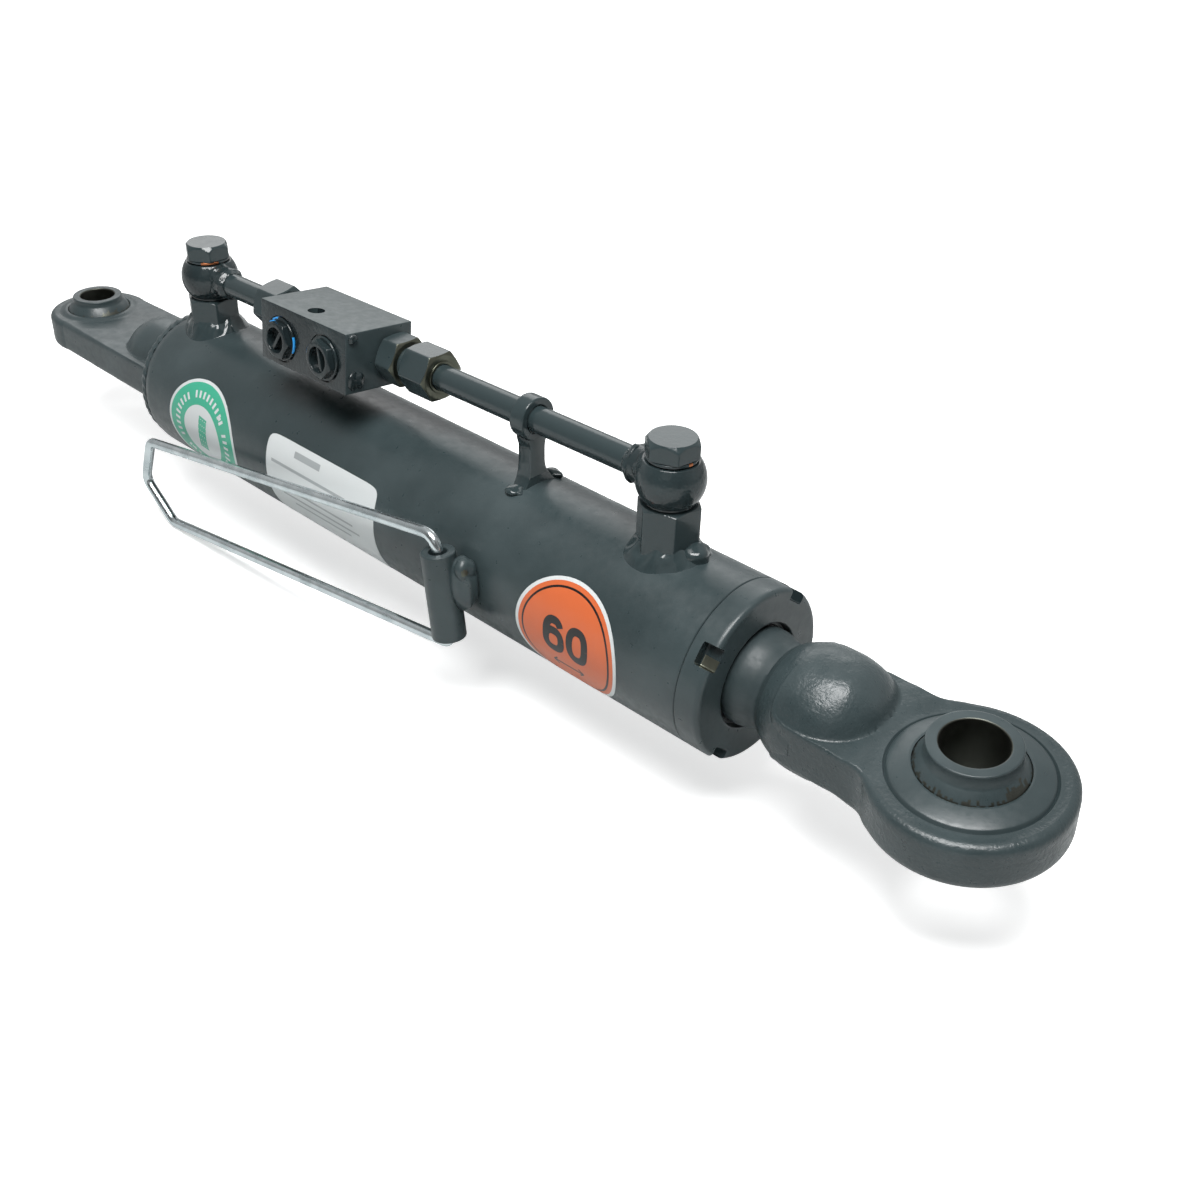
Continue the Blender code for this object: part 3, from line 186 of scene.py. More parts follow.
LINE = shift(REAR_PORT, 0, REAR_LEVEL) @ turn("Y", -LINE_SLOPE)
BLOCK = LINE @ shift(BLOCK_PLACE, 0, 0) @ turn("X", BLOCK_ROLL)
ROD_EYE = shift(EYE_PLACE, 0, 0) @ turn("X", ROD_ROLL)
HINGE = shift(*HINGE_PLACE) @ turn("Y", HINGE_LEAN)


# Shapes


def soften(points, radius, steps=4, closed=False):
    """A polyline with its corners rounded. Each corner P is cut back to S and E
    along its sides and replaced by the parabola (1-t)^2 S + 2t(1-t) P + t^2 E."""
    p = np.asarray(points, float)
    r = np.broadcast_to(np.asarray(radius, float), len(p))
    before, after = np.roll(p, 1, 0), np.roll(p, -1, 0)
    la = np.linalg.norm(before - p, axis=1)
    lb = np.linalg.norm(after - p, axis=1)
    u = (before - p) / np.maximum(la, 1e-9)[:, None]
    v = (after - p) / np.maximum(lb, 1e-9)[:, None]
    bend = np.pi - np.arccos(np.clip((u * v).sum(1), -1, 1))
    back = np.minimum(r * np.tan(bend / 2), 0.45 * np.minimum(la, lb))
    if not closed:
        back[[0, -1]] = 0
    s, e = p + u * back[:, None], p + v * back[:, None]
    t = np.linspace(0, 1, steps + 1)[None, :, None]
    curve = (1 - t) ** 2 * s[:, None] + 2 * t * (1 - t) * p[:, None] + t**2 * e[:, None]
    guard = 0.2 * back[:, None]
    curve = np.concatenate([(s + u * guard)[:, None], curve, (e + v * guard)[:, None]], 1)
    flat = curve.reshape(-1, 2)
    keep = np.r_[True, np.linalg.norm(np.diff(flat, axis=0), axis=1) > 1e-4]
    return flat[keep]


def divided(points, longest):
    """A polyline with points added so that no side is longer than longest."""
    p = np.asarray(points, float)
    count = np.maximum(1, np.ceil(np.linalg.norm(np.diff(p, axis=0), axis=1) / longest).astype(int))
    pieces = [np.linspace(a, b, n, endpoint=False) for a, b, n in zip(p, p[1:], count)]
    return np.vstack(pieces + [p[-1:]])


def turned(profile, steps, shape=None):
    """Surface of revolution about X. A profile point (a, r) at the angle t lies
    at (a, r sin t, r cos t); shape(a, r, t) may return another r."""
    p = np.asarray(profile, float)
    t = np.linspace(0, 2 * np.pi, steps, endpoint=False)[None, :]
    a = np.repeat(p[:, :1], steps, 1)
    r = np.repeat(p[:, 1:], steps, 1)
    if shape is not None:
        r = shape(a, r, t)
    return np.stack([a, r * np.sin(t), r * np.cos(t)], -1)


def upright(points):
    """The same surface with its axis X stood up along Z."""
    return np.stack([points[..., 2], points[..., 1], points[..., 0]], -1)


def hexagon_reach(t, across, turned_by=0.0, power=44):
    """Distance to a hexagon with eased corners in the direction t: the sides'
    distances d = across/2 / cos(t - side) joined by a high power mean."""
    sides = np.cos(np.asarray(t)[..., None] - turned_by - np.arange(6) * np.pi / 3 - np.pi / 6)
    return across / 2 / (np.maximum(sides, 0) ** power).sum(-1) ** (1 / power)


def hexagonal(across, turned_by=0.0, inner=None):
    """A shape for turned(): the smaller of the turned radius and the hexagon,
    which leaves the arcs of a chamfered nut. Points under inner stay round."""

    def shape(a, r, t):
        side = np.broadcast_to(hexagon_reach(t, across, turned_by), r.shape)
        cut = np.minimum(r, side)
        return cut if inner is None else np.where(r > inner, cut, r)

    return shape


def nut_profile(start, end, across, both=True, bore=0.0, lean=30):
    """Half section of a nut or bolt head blank: chamfers at the angle lean take
    off the corners at its end, and at its start where both is set. Across flats
    the blank measures 1.22 and its faces 0.95. A bore has chamfers of its own."""
    face, outer, chamfer = across * 0.475, across * 0.61, 0.6
    depth = (outer - face) * math.tan(math.radians(lean))
    rise = np.linspace(0, 1, 9)[:, None]
    tail = np.hstack([end - depth * (1 - rise), outer + (face - outer) * rise])
    head = np.hstack([start + depth * rise, face + (outer - face) * rise]) if both else [[start, outer]]
    if not bore:
        return np.vstack([[[start, 0]], head, tail, [[end, 0]]])
    mouth = [[end, bore + chamfer], [end - chamfer, bore], [start + chamfer, bore]]
    return np.vstack([[[start, bore + chamfer]], head, tail, mouth])


def swept(path, radius, steps=24, normal=(0, 1, 0)):
    """A round tube along a path that lies in a plane: each ring is the circle
    P + radius (n cos t + b sin t), with n the plane's normal."""
    p = np.asarray(path, float)
    along = np.gradient(p, axis=0)
    along /= np.linalg.norm(along, axis=1)[:, None]
    n = np.asarray(normal, float)[None, :]
    b = np.cross(along, n)
    b /= np.linalg.norm(b, axis=1)[:, None]
    t = np.linspace(0, 2 * np.pi, steps, endpoint=False)
    ring = n[:, None] * np.cos(t)[None, :, None] + b[:, None] * np.sin(t)[None, :, None]
    return p[:, None] + radius * ring


def lumps(a, b, size, seed, count=14):
    """Smooth unevenness between about -1 and 1: a sum of plane waves whose
    lengths lie near size, with seeded directions and phases."""
    draw = np.random.default_rng(seed)
    heading = draw.uniform(0, 2 * np.pi, count)
    rate = 2 * np.pi / (size * draw.uniform(0.7, 1.6, count))
    phase = draw.uniform(0, 2 * np.pi, count)
    total = np.zeros(np.broadcast(a, b).shape)
    for h, k, f in zip(heading, rate, phase):
        total += np.sin(k * (a * np.cos(h) + b * np.sin(h)) + f)
    return total / math.sqrt(count / 2) / 1.6


def smooth_top(a, b, width):
    """The larger of two values with their crossing eased over width."""
    share = np.clip(0.5 + 0.5 * (a - b) / width, 0, 1)
    return b + (a - b) * share + width * share * (1 - share)


def ease(value, start, end):
    share = np.clip((value - start) / (end - start), 0, 1)
    return share * share * (3 - 2 * share)


def rounded_box(half, corner, count=6, longest=3.0):
    """A box with rounded edges. A point q on the sharp box goes to
    c + corner (q - c)/|q - c|, where c is q held inside the box less corner."""
    half = np.asarray(half, float)
    faces = []
    edge = 1 - np.cos(np.linspace(0, np.pi / 2, count + 1))
    lines = []
    for h in half:
        cells = max(2, int((h - corner) * 2 / longest))
        inner = -h + corner + 2 * (h - corner) * (np.arange(1, cells) / cells)
        lines.append(np.r_[-h + corner * np.sort(edge), inner, h - corner * np.sort(edge)[::-1]])
    for axis in range(3):
        first, second = [k for k in range(3) if k != axis]
        u, v = np.meshgrid(lines[first], lines[second], indexing="ij")
        for side in (-1, 1):
            q = np.empty(u.shape + (3,))
            q[..., axis], q[..., first], q[..., second] = side * half[axis], u, v
            c = np.clip(q, -half + corner, half - corner)
            way = q - c
            way /= np.maximum(np.linalg.norm(way, axis=-1, keepdims=True), 1e-9)
            faces.append((c + corner * way, False))
    return faces


def loop(profile):
    """A section closed on itself: its last row is its first."""
    p = np.asarray(profile, float)
    return np.vstack([p, p[:1]])


def section(points, radius):
    """A closed half section with its corners rounded."""
    return loop(soften(points, radius, 3, True))


def hollow(start, end, inner, outer, edge):
    """The section of a tube."""
    return section([(start, inner), (start, outer), (end, outer), (end, inner)], edge)


def solid(start, end, radius):
    """The half section of a round bar, from the axis to the axis."""
    return [(start, 0), (start, radius), (end, radius), (end, 0)]


def lying(profile, steps, place=HERE, shape=None, side=1):
    """A profile turned about X, mirrored where side is -1, at its place."""
    return placed(turned(profile, steps, shape) * np.array([side, 1, 1]), place), True


def standing(profile, steps, place=HERE, shape=None):
    """A profile turned about X and stood up along Z, at its place."""
    return placed(upright(turned(profile, steps, shape)), place), True


def box_at(half, corner, count, longest, place):
    """A rounded box at its place."""
    return [(placed(grid, place), wraps) for grid, wraps in rounded_box(half, corner, count, longest)]


def capped(grid):
    """A tube of points with each open end closed to its middle."""
    first, last = (end.mean(1, keepdims=True).repeat(grid.shape[1], 1) for end in (grid[:1], grid[-1:]))
    return np.concatenate([first, grid, last])


def blob(centre, half, uneven, seed, place=HERE, steps=64):
    """A lump of weld or paint: an ellipsoid whose radius wanders by uneven."""
    t = np.linspace(0, 2 * np.pi, steps, endpoint=False)[None, :]
    v = np.linspace(0, np.pi, steps // 2 + 1)[:, None]
    way = np.stack([np.sin(v) * np.cos(t), np.sin(v) * np.sin(t), np.cos(v) + 0 * t], -1)
    x, y, z = np.moveaxis(way * 6, -1, 0)
    r = 1 + uneven * (lumps(x, y, 7, seed) + lumps(y, z, 7, seed + 1))
    return placed(np.asarray(centre, float) + np.asarray(half, float) * way * r[..., None], place), True


# Pieces


def creased(mesh, sharp):
    """Smooth shading with creases where faces meet at more than sharp degrees."""
    mesh.shade_smooth()
    if sharp:
        mesh.set_sharp_from_angle(angle=math.radians(sharp))


def piece(name, surfaces, look, body="barrel", sharp=38, closed=True):
    """Puts grids of points into one mesh with the look of that name. A grid is
    (array, wraps), where wraps joins its last column to its first; a row that
    meets the axis closes it. A name that ends in _form stands for the CAD node
    that it replaces."""
    points, quads, start = [], [], 0
    for grid, wraps in surfaces:
        rows, columns = grid.shape[:2]
        index = start + np.arange(rows * columns).reshape(rows, columns)
        across = np.roll(index, -1, 1) if wraps else index[:, 1:]
        here = index if wraps else index[:, :-1]
        quads.append(np.stack([here[:-1], across[:-1], across[1:], here[1:]], -1).reshape(-1, 4))
        points.append(grid.reshape(-1, 3))
        start += rows * columns
    mesh = bpy.data.meshes.new(name)
    mesh.from_pydata(np.vstack(points) / 1000, [], np.vstack(quads))
    bm = bmesh.new()
    bm.from_mesh(mesh)
    bmesh.ops.remove_doubles(bm, verts=bm.verts, dist=2e-6)
    if closed:
        bmesh.ops.recalc_face_normals(bm, faces=bm.faces)
    bm.to_mesh(mesh)
    bm.free()
    creased(mesh, sharp)
    mesh.materials.append(looks[look])
    made = bpy.data.objects.new(name, mesh)
    bpy.context.scene.collection.objects.link(made)
    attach(made, body)
    if name.endswith("_form"):
        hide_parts(name.removesuffix("_form"))
    return made


def coat(made, look, chosen):
    """Gives the faces that chosen(centres, normals) picks another material;
    centres are in millimetres."""
    mesh = made.data
    count = len(mesh.polygons)
    centres, normals, slots = np.empty(count * 3), np.empty(count * 3), np.empty(count, int)
    mesh.polygons.foreach_get("center", centres)
    mesh.polygons.foreach_get("normal", normals)
    mesh.polygons.foreach_get("material_index", slots)
    mesh.materials.append(looks[look])
    slots[chosen(centres.reshape(-1, 3) * 1000, normals.reshape(-1, 3))] = len(mesh.materials) - 1
    mesh.polygons.foreach_set("material_index", slots)


def drilled(target, cutters, look, sharp=28):
    """Takes the cutters' volumes out of a piece for good, by Boolean; the new
    faces take the cutters' material."""
    tools = [piece(f"cutter_{number}", surfaces, look) for number, surfaces in enumerate(cutters)]
    for tool in tools:
        step = target.modifiers.new("Drilled", "BOOLEAN")
        step.object, step.operation = tool, "DIFFERENCE"
        step.solver, step.material_mode = "EXACT", "TRANSFER"
    graph = bpy.context.evaluated_depsgraph_get()
    mesh = bpy.data.meshes.new_from_object(target.evaluated_get(graph))
    target.modifiers.clear()
    target.data = mesh
    for tool in tools:
        bpy.data.objects.remove(tool)
    creased(mesh, sharp)


def sizes():
    return bpy.context.scene.link_sizes


def colours():
    return bpy.context.scene.link_colours


# Materials


def add(owner, kind, values=None, **settings):
    """Adds one node to a material or a world: values are its inputs, a number
    or another node's output, and settings are its own choices."""
    made = owner.node_tree.nodes.new(kind)
    for key, value in settings.items():
        setattr(made, key, value)
    for socket, value in (values or {}).items():
        if isinstance(value, bpy.types.NodeSocket):
            owner.node_tree.links.new(value, made.inputs[socket])
        else:
            made.inputs[socket].default_value = value
    return made


def started(name, base, roughness, metallic=0.0, **values):
    """A Principled material with its constants on its own sockets."""
    material = bpy.data.materials.new(name)
    material.use_nodes = True
    shader = material.node_tree.nodes["Principled BSDF"]
    shader.inputs["Base Color"].default_value = (*base, 1)
    shader.inputs["Roughness"].default_value = roughness
    shader.inputs["Metallic"].default_value = metallic
    for socket, value in values.items():
        shader.inputs[socket.replace("_", " ")].default_value = value
    place = add(material, "ShaderNodeTexCoord").outputs["Object"]
    return material, shader, place


def noise(material, place, width, detail=2.0, rough=0.5):
    """Noise whose ripples are width metres wide."""
    values = {"Vector": place, "Scale": 1 / width, "Detail": detail, "Roughness": rough}
    return add(material, "ShaderNodeTexNoise", values).outputs["Fac"]


def spread(owner, value, low_in, high_in, low_out=0.0, high_out=1.0):
    values = {"Value": value, "From Min": low_in, "From Max": high_in, "To Min": low_out, "To Max": high_out}
    return add(owner, "ShaderNodeMapRange", values).outputs["Result"]


def mixed(material, share, first, second):
    made = add(material, "ShaderNodeMix", {"Factor": share}, data_type="RGBA")
    for socket, value in ((made.inputs[6], first), (made.inputs[7], second)):
        if isinstance(value, bpy.types.NodeSocket):
            material.node_tree.links.new(value, socket)
        else:
            socket.default_value = (*value, 1)
    return made.outputs[2]


def join(owner, output, socket):
    owner.node_tree.links.new(output, socket)


def mottled(material, shader, cloud, smoothest, roughest):
    """Lets a noise vary the roughness between two values."""
    join(material, spread(material, cloud, 0.3, 0.7, smoothest, roughest), shader.inputs["Roughness"])


def bumped(material, shader, *layers):
    """Stacks bumps, each a height output and its depth in metres."""
    normal = None
    for height, depth in layers:
        values = {"Height": height, "Strength": 1.0, "Distance": depth}
        if normal is not None:
            values["Normal"] = normal
        normal = add(material, "ShaderNodeBump", values).outputs["Normal"]
    join(material, normal, shader.inputs["Normal"])


looks = {}


def make_enamel(name, base, thin, roughness, peel_depth, scale_depth=0.0):
    """Alkyd enamel, sprayed: orange peel, a little paler in patches where it is
    thin; on forgings the scale under it shows as soft pits that catch light."""
    size = sizes()
    material, shader, place = started(name, base, roughness)
    patch = noise(material, place, 0.045, 3.0, 0.55)
    dust = noise(material, place, 0.004, 3.0, 0.6)
    tone = mixed(material, spread(material, patch, 0.42, 0.72), base, thin)
    join(material, tone, shader.inputs["Base Color"])
    mottled(material, shader, dust, roughness * 0.8, roughness * 1.25)
    layers = [(noise(material, place, size.peel, 1.0), peel_depth / 1000)]
    if scale_depth:
        pits = noise(material, place, size.scale * 0.5, 2.0, 0.55)
        layers.append((noise(material, place, size.scale * 1.6, 3.0, 0.5), scale_depth / 500))
        layers.append((spread(material, pits, 0.3, 0.62), scale_depth / 900))
    bumped(material, shader, *layers)
    return material


def make_metal(name, base, roughness, lay_width=0.0006):
    """Bare or plated metal, turned: fine tool marks across the axis."""
    material, shader, place = started(name, base, roughness, 1.0)
    fine = noise(material, place, lay_width, 2.0)
    cloud = noise(material, place, 0.012, 2.0)
    mottled(material, shader, cloud, roughness * 0.8, roughness * 1.25)
    bumped(material, shader, (fine, 0.00002))
    return material


def make_soft(name, base, roughness):
    """Moulded rubber or plastic: a fine eggshell from the mould."""
    material, shader, place = started(name, base, roughness)
    bumped(material, shader, (noise(material, place, 0.0008, 2.0), 0.00003))
    return material


def make_zinc():
    """Mild steel wire, drawn and zinc plated: bright bluish metal, a little
    cloudy, smooth along the draw."""
    tint = colours()
    material, shader, place = started("Steel wire, drawn and zinc plated", tint.zinc, 0.24, 1.0)
    cloud = noise(material, place, 0.009, 2.0)
    tone = mixed(material, spread(material, cloud, 0.35, 0.65), tint.zinc, linear("#C2CCCF"))
    join(material, tone, shader.inputs["Base Color"])
    mottled(material, shader, cloud, 0.2, 0.3)
    return material


def make_printed(name, base, roughness=0.33):
    """Vinyl label, printed and laminated: even ink under a low gloss film that
    follows the paint's ripples a little."""
    material, shader, place = started(name, base, roughness)
    bumped(material, shader, (noise(material, place, 0.006, 2.0), 0.00012))
    return material


def make_materials():
    tint = colours()
    enamel, thin, thick_and_shaded = tint.enamel, tint.enamel_thin, tint.enamel_thick_and_shaded
    looks["enamel"] = make_enamel("Alkyd enamel, sprayed on machined steel", enamel, thin, 0.34, 0.03)
    looks["forged"] = make_enamel("Alkyd enamel, sprayed on forged steel", enamel, thin, 0.32, 0.03, 0.07)
    looks["dull"] = make_enamel("Alkyd enamel, sprayed thin on turned steel", enamel, enamel, 0.5, 0.02)
    looks["gloss"] = make_enamel("Alkyd enamel, sprayed wet", enamel, enamel, 0.14, 0.05)
    # The darker run enamel is also painted shade on the valve block's near face.
    looks["thick_and_shaded"] = make_enamel("Alkyd enamel, sprayed thick and run", thick_and_shaded, enamel, 0.12, 0.08, 0.05)
    # The paler matt enamel is a painted highlight on the valve block's top.
    looks["paler_and_lit"] = make_enamel("Alkyd enamel, sprayed dry", tint.enamel_paler_and_lit, tint.enamel_paler_and_lit, 0.42, 0.02)
    looks["bare"] = make_metal("Carbon steel, milled and bare", tint.bare_steel, 0.38)
    looks["bore"] = make_metal("Bearing steel, ground and browned", tint.bore_steel, 0.45)
    looks["steel"] = make_metal("Carbon steel, turned", linear("#8F8F8C"), 0.3)
    looks["chrome"] = make_metal("Hard chrome, ground and polished", tint.chrome, 0.11)
    looks["zinc"] = make_zinc()
    looks["copper"] = make_metal("Copper, stamped", tint.copper, 0.34)
    looks["bronze"] = make_metal("Tin bronze, turned", tint.bronze, 0.36)
    looks["nitrile"] = make_soft("Nitrile rubber, moulded", tint.nitrile, 0.6)
    looks["polyurethane"] = make_soft("Polyurethane, moulded", tint.polyurethane, 0.42)
    looks["cap"] = make_soft("Blue polyethylene, moulded", tint.cap, 0.3)
    looks["print"] = make_printed("Vinyl label, printed grey", linear("#9CA1A2"))
    looks["orange"] = make_printed("Vinyl label, printed orange", tint.orange)
    looks["green"] = make_printed("Vinyl label, printed green", tint.green)
    looks["white"] = make_printed("Vinyl label, printed white", tint.paper)
    looks["ink"] = make_printed("Vinyl label, printed black", tint.ink)


class LINK_OT_materials(bpy.types.Operator):
    """Make the materials that all the pieces share"""

    bl_idname = "top_link.materials"
    bl_label = "Materials"

    def execute(self, context):
        make_materials()
        return {"FINISHED"}


class LINK_OT_barrel(bpy.types.Operator):
    """Draw the barrel tube and the weld at its rear end"""

    bl_idname = "top_link.barrel"
    bl_label = "Barrel"

    def execute(self, context):
        start, mouth, steps = BARREL_START, BARREL_MOUTH, sizes().steps
        taper, draft, chamfer, lead = 10.5, 4.2, 0.4, 1
        share = np.linspace(0, 1, 9)
        end = np.stack([start + taper * share, BARREL_R - draft * (1 - share) ** 2], 1)
        rim = [[mouth - chamfer, BARREL_R], [mouth, BARREL_R - chamfer]]
        inside = [[mouth, BORE_R + lead], [mouth - lead, BORE_R]]
        outline = divided(np.vstack([[[start, BORE_R]], end, rim, inside]), 30)
        piece("barrel_tube_form", [lying(loop(outline), steps)], "enamel")

        weld_start, weld_length, foot, rise, crown = 100.9, 7.0, 33.1, 3.4, 1.5
        share = np.linspace(0, 1, 13)
        height = foot + rise * share + crown * np.sin(np.pi * share)
        bead = np.stack([weld_start + weld_length * share, height], 1)
        root = [[weld_start + 6.6, foot + 1.9], [weld_start + 0.3, foot - 1.3]]
        ripple, ripples_round = sizes().ripple * 700, 46

        def beaded(a, r, t):
            wave = np.sin(ripples_round * t + (a - 104) * 0.9) + 0.7 * lumps(t * 33, a, 9, 3)
            return r + ripple * wave * np.clip((r - 33) / 2, 0, 1)

        weld = lying(loop(np.vstack([bead, root])), steps * 2, shape=beaded)
        piece("rear_weld_form", [weld], "enamel", sharp=60)
        return {"FINISHED"}


class LINK_OT_gland(bpy.types.Operator):
    """Draw the gland head with its four spanner pockets, and the wiper"""

    bl_idname = "top_link.gland"
    bl_label = "Gland head"

    def execute(self, context):
        front, back, bore = GLAND_FRONT, BARREL_MOUTH + FIT, ROD_R + FIT
        floor, recess, spigot, wiper_groove = front - GLAND_RECESS, 23.2, BORE_R - FIT, 3.7
        outline = soften(
            [(back, spigot), (back, BARREL_R), (front, BARREL_R), (front, recess), (floor, recess),
             (floor, bore + wiper_groove)],
            [0, 0.5, 2.4, 0.9, 0.4, 0],
            6,
        )
        # Depths behind the front face and heights over the bore: the wiper's,
        # the seal's and the bush's grooves, the back end, the groove outside
        grooves = [
            (9.5, 3.7), (9.5, 0), (13.7, 0), (13.7, 2), (21.7, 2), (21.7, 0), (25.9, 0), (25.9, 4.7),
            (33.4, 4.7), (33.4, 0), (46.3, 0), (46.3, 12.1), (45, 13.4), (40.3, 13.4), (40.3, 11.1),
            (37.4, 11.1), (37.4, 13.4),
        ]
        inner = [(front - depth, bore + rise) for depth, rise in grooves]
        outline = divided(np.vstack([outline, inner, outline[:1]]), 8)
        made = piece("gland_head_form", [lying(outline, sizes().steps)], "enamel", sharp=35)
        pocket_half, pocket_depth, pocket_reach, first_turn = (4.35, 4.9, 4.2), 3.15, 37.2, 53
        middle = shift(front - pocket_depth, 0, pocket_reach)
        pockets = [
            box_at(pocket_half, 0.9, 4, 3, turn("X", math.radians(first_turn + 90 * side)) @ middle)
            for side in range(4)
        ]
        drilled(made, pockets, "thick_and_shaded", 35)

        def scuffed(c, n):
            angle, reach = np.arctan2(-c[:, 1], c[:, 2]), np.hypot(c[:, 1], c[:, 2])
            up = n[:, 2] * np.sin(angle) + n[:, 1] * np.cos(angle)
            in_pocket = (angle > 0.9) & (angle < 1.085) & (reach > spigot - 0.2) & (reach < 37.4)
            in_pocket &= (c[:, 0] > front - 7.8) & (c[:, 0] < front - 0.4)
            return in_pocket & (n[:, 0] < 0.6) & (up > -0.4)

        coat(made, "bare", scuffed)
        start, outer, lip = front - 9.2, 21.2, floor + 0.4
        wiper = section([(start, bore), (start, outer), (floor, outer), (lip, bore + FIT)], 0.4)
        piece("wiper_ring_form", [lying(wiper, 96)], "nitrile")
        return {"FINISHED"}


class LINK_OT_rod(bpy.types.Operator):
    """Draw the chromed rod"""

    bl_idname = "top_link.rod"
    bl_label = "Rod"

    def execute(self, context):
        start, end = low("rod", 0), NECK_START - FIT
        thread_end, journal_end, spigot_end = start + 20.3, start + 58.6, end + 14
        thread, journal, spigot = 12.2, 12.5, 12
        outline = soften(
            [(start, 0), (start, thread), (thread_end, thread), (thread_end, journal),
             (journal_end, journal), (journal_end, ROD_R), (end, ROD_R), (end, spigot),
             (spigot_end, spigot), (spigot_end, 0)],
            [0, 0.8, 0, 0, 0.2, 0.9, 0.3, 0, 0.5, 0],
            3,
        )
        rod = lying(divided(outline, 40), 96, turn("X", ROD_ROLL))
        piece("rod_form", [rod], "chrome", "rod")
        return {"FINISHED"}


def forged_eye(seat, inner, reach, height, edge, columns, rows, crowd, deeper=0.0):
    """A forged eye with its shank, drawn round Z. At the angle t the section
    runs from the ball's seat over the lip (inner holds heights and radii), out
    over the top z = height(x, y) to the plan's edge reach(t), round the edge
    radius and down the side; the lower half is its mirror image. crowd draws
    the angles closer together: t + crowd sin t; deeper lets the rim of the
    lower half hang lower, as a share."""
    rim_start, rim_end, shank_start, shank_end = 31.2, 34, -44, -22
    t = np.linspace(0, 2 * np.pi, columns, endpoint=False)[None, :]
    t = t + crowd * np.sin(t)
    inner = np.asarray(inner, float)
    around = np.ones_like(t)
    e = edge(t)
    flat = reach(t) - e
    s = np.linspace(0, 1, rows)[1:, None]
    r = inner[-1, 1] + (flat - inner[-1, 1]) * s
    z = height(r * np.cos(t), r * np.sin(t))
    q = np.linspace(0, np.pi / 2, 8)[1:, None]
    below = z[-1:] - e
    down = np.array([0.66, 0.33, 0.08, 0.0])[:, None]
    swell = np.array([0.0, -0.02, -0.05, 0.0])[:, None]
    radius = np.concatenate([inner[:, 1:] * around, r, flat + e * np.sin(q), flat + e + swell])
    level = np.concatenate([inner[:, :1] * around, z, below + e * np.cos(q), below * down])
    hang = ease(radius, rim_start, rim_end) * ease(radius * np.cos(t), shank_start, shank_end)
    lower = level * (1 + deeper * hang)
    radius = np.concatenate([radius, radius[-2::-1]])
    level = np.concatenate([level, -lower[-2::-1]])
    lean = np.linspace(-1, 1, 25)[:, None] * math.asin(inner[0, 0] / seat)
    radius = np.concatenate([radius, seat * np.cos(lean) * around])
    level = np.concatenate([level, seat * np.sin(lean) * around])
    return np.stack([radius * np.cos(t), radius * np.sin(t), level], -1)


class LINK_OT_rod_eye(bpy.types.Operator):
    """Draw the forged rod eye: turned neck, domed body, shank and coined ring"""

    bl_idname = "top_link.rod_eye"
    bl_label = "Rod eye"

    def execute(self, context):
        neck = NECK_START - EYE_PLACE
        waist, start, body, nose = neck + 16.5, neck + 26.5, neck + 34.5, neck + 37.5
        neck_r, neck_draft, body_r, nose_length = 21.2, 1.9, 26.9, 26.2
        half_width, half_height, ring_r, fillet = 26.5, 9, 39.3, 12.0

        def body_radius(x):
            swell = np.sin(np.pi / 2 * np.clip((x - waist) / (body - waist), 0, 1)) ** 0.75
            fall = np.clip((x - nose) / nose_length, 0, 1) ** 2.5
            base = neck_r - neck_draft * ease(x, neck + 5, neck + 13)
            return (base + (body_r - base) * np.where(x > waist, swell, 0)) * (1 - fall) ** 0.4

        places = np.r_[np.linspace(neck + 5, waist, 12), np.linspace(waist, start + 12, 30)[1:]]
        outline = [[neck, 0], [neck, neck_r - 1.2], [neck + 0.5, neck_r - 0.4], [neck + 1.3, neck_r]]
        outline += np.stack([places, body_radius(places) + 0.02], 1).tolist()
        outline += [[start + 12.1, 25.5], [start + 12.1, 0]]

        def slimmer(a, r, t):
            return r - 0.42 * (1 - np.abs(np.cos(t))) * (a > waist)

        def reach(t):
            c, s = np.cos(t), np.abs(np.sin(t)) + 1e-9
            straight = ((s / half_width) ** 14 + (np.maximum(-c, 0) / -start) ** 14) ** (-1 / 14)
            side = half_width + fillet
            centre = np.array([-math.sqrt((ring_r + fillet) ** 2 - side**2), side])
            along = centre[0] * c + centre[1] * s
            blend = along - np.sqrt(np.maximum(along**2 - centre @ centre + fillet**2, 0))
            ring_end, blend_end = math.atan2(side, centre[0]), math.atan2(half_width, centre[0])
            angle = np.arctan2(s, c)
            ring = ring_r - 0.75 * np.maximum(np.sin(t), 0) ** 6
            return np.where(angle < ring_end, ring, np.where(angle < blend_end, blend, straight))

        def height(x, y):
            away = np.hypot(x, y)
            rise = half_height + ease(away, 32.5, 41)
            dome = np.where(x < -35, np.sqrt(np.maximum(body_radius(x) ** 2 - y**2, 0)), 0)
            crease = 0.5 * np.exp(-((rise - dome) ** 2) / 14) * (dome > 0)
            rough = 0.2 * lumps(x, y, 13, 5) * ease(away, 34, 44) * ease(x, start + 10, start + 18)
            return smooth_top(rise, dome, 4.4) - crease + rough

        def edge(t):
            return 2.0 + 1.8 * ease(np.abs(np.arctan2(np.sin(t), -np.cos(t))), 0.75, 1.1)

        lip = [
            (12.3, 21.55), (12.5, 22.0), (12.45, 22.7), (10.25, 28.6), (9.85, 29.7), (9.5, 30.2),
            (8.2, 30.5), (7.95, 30.8), (8.5, 31.2), (9.0, 31.5), (9.05, 32.0), (9.0, 32.6),
        ]
        grid = forged_eye(24.8, lip, reach, height, edge, columns=420, rows=46, crowd=0.55, deeper=0.27)
        surfaces = [lying(outline, 160, ROD_EYE, slimmer), (placed(grid, ROD_EYE), True)]
        made = piece("rod_eye_form", surfaces, "forged", "rod", sharp=50)
        coat(made, "enamel", lambda c, n: np.hypot(c[:, 0] - EYE_PLACE, c[:, 1]) < 32.2)
        coat(made, "dull", lambda c, n: c[:, 0] < EYE_PLACE + waist + 3)
        return {"FINISHED"}


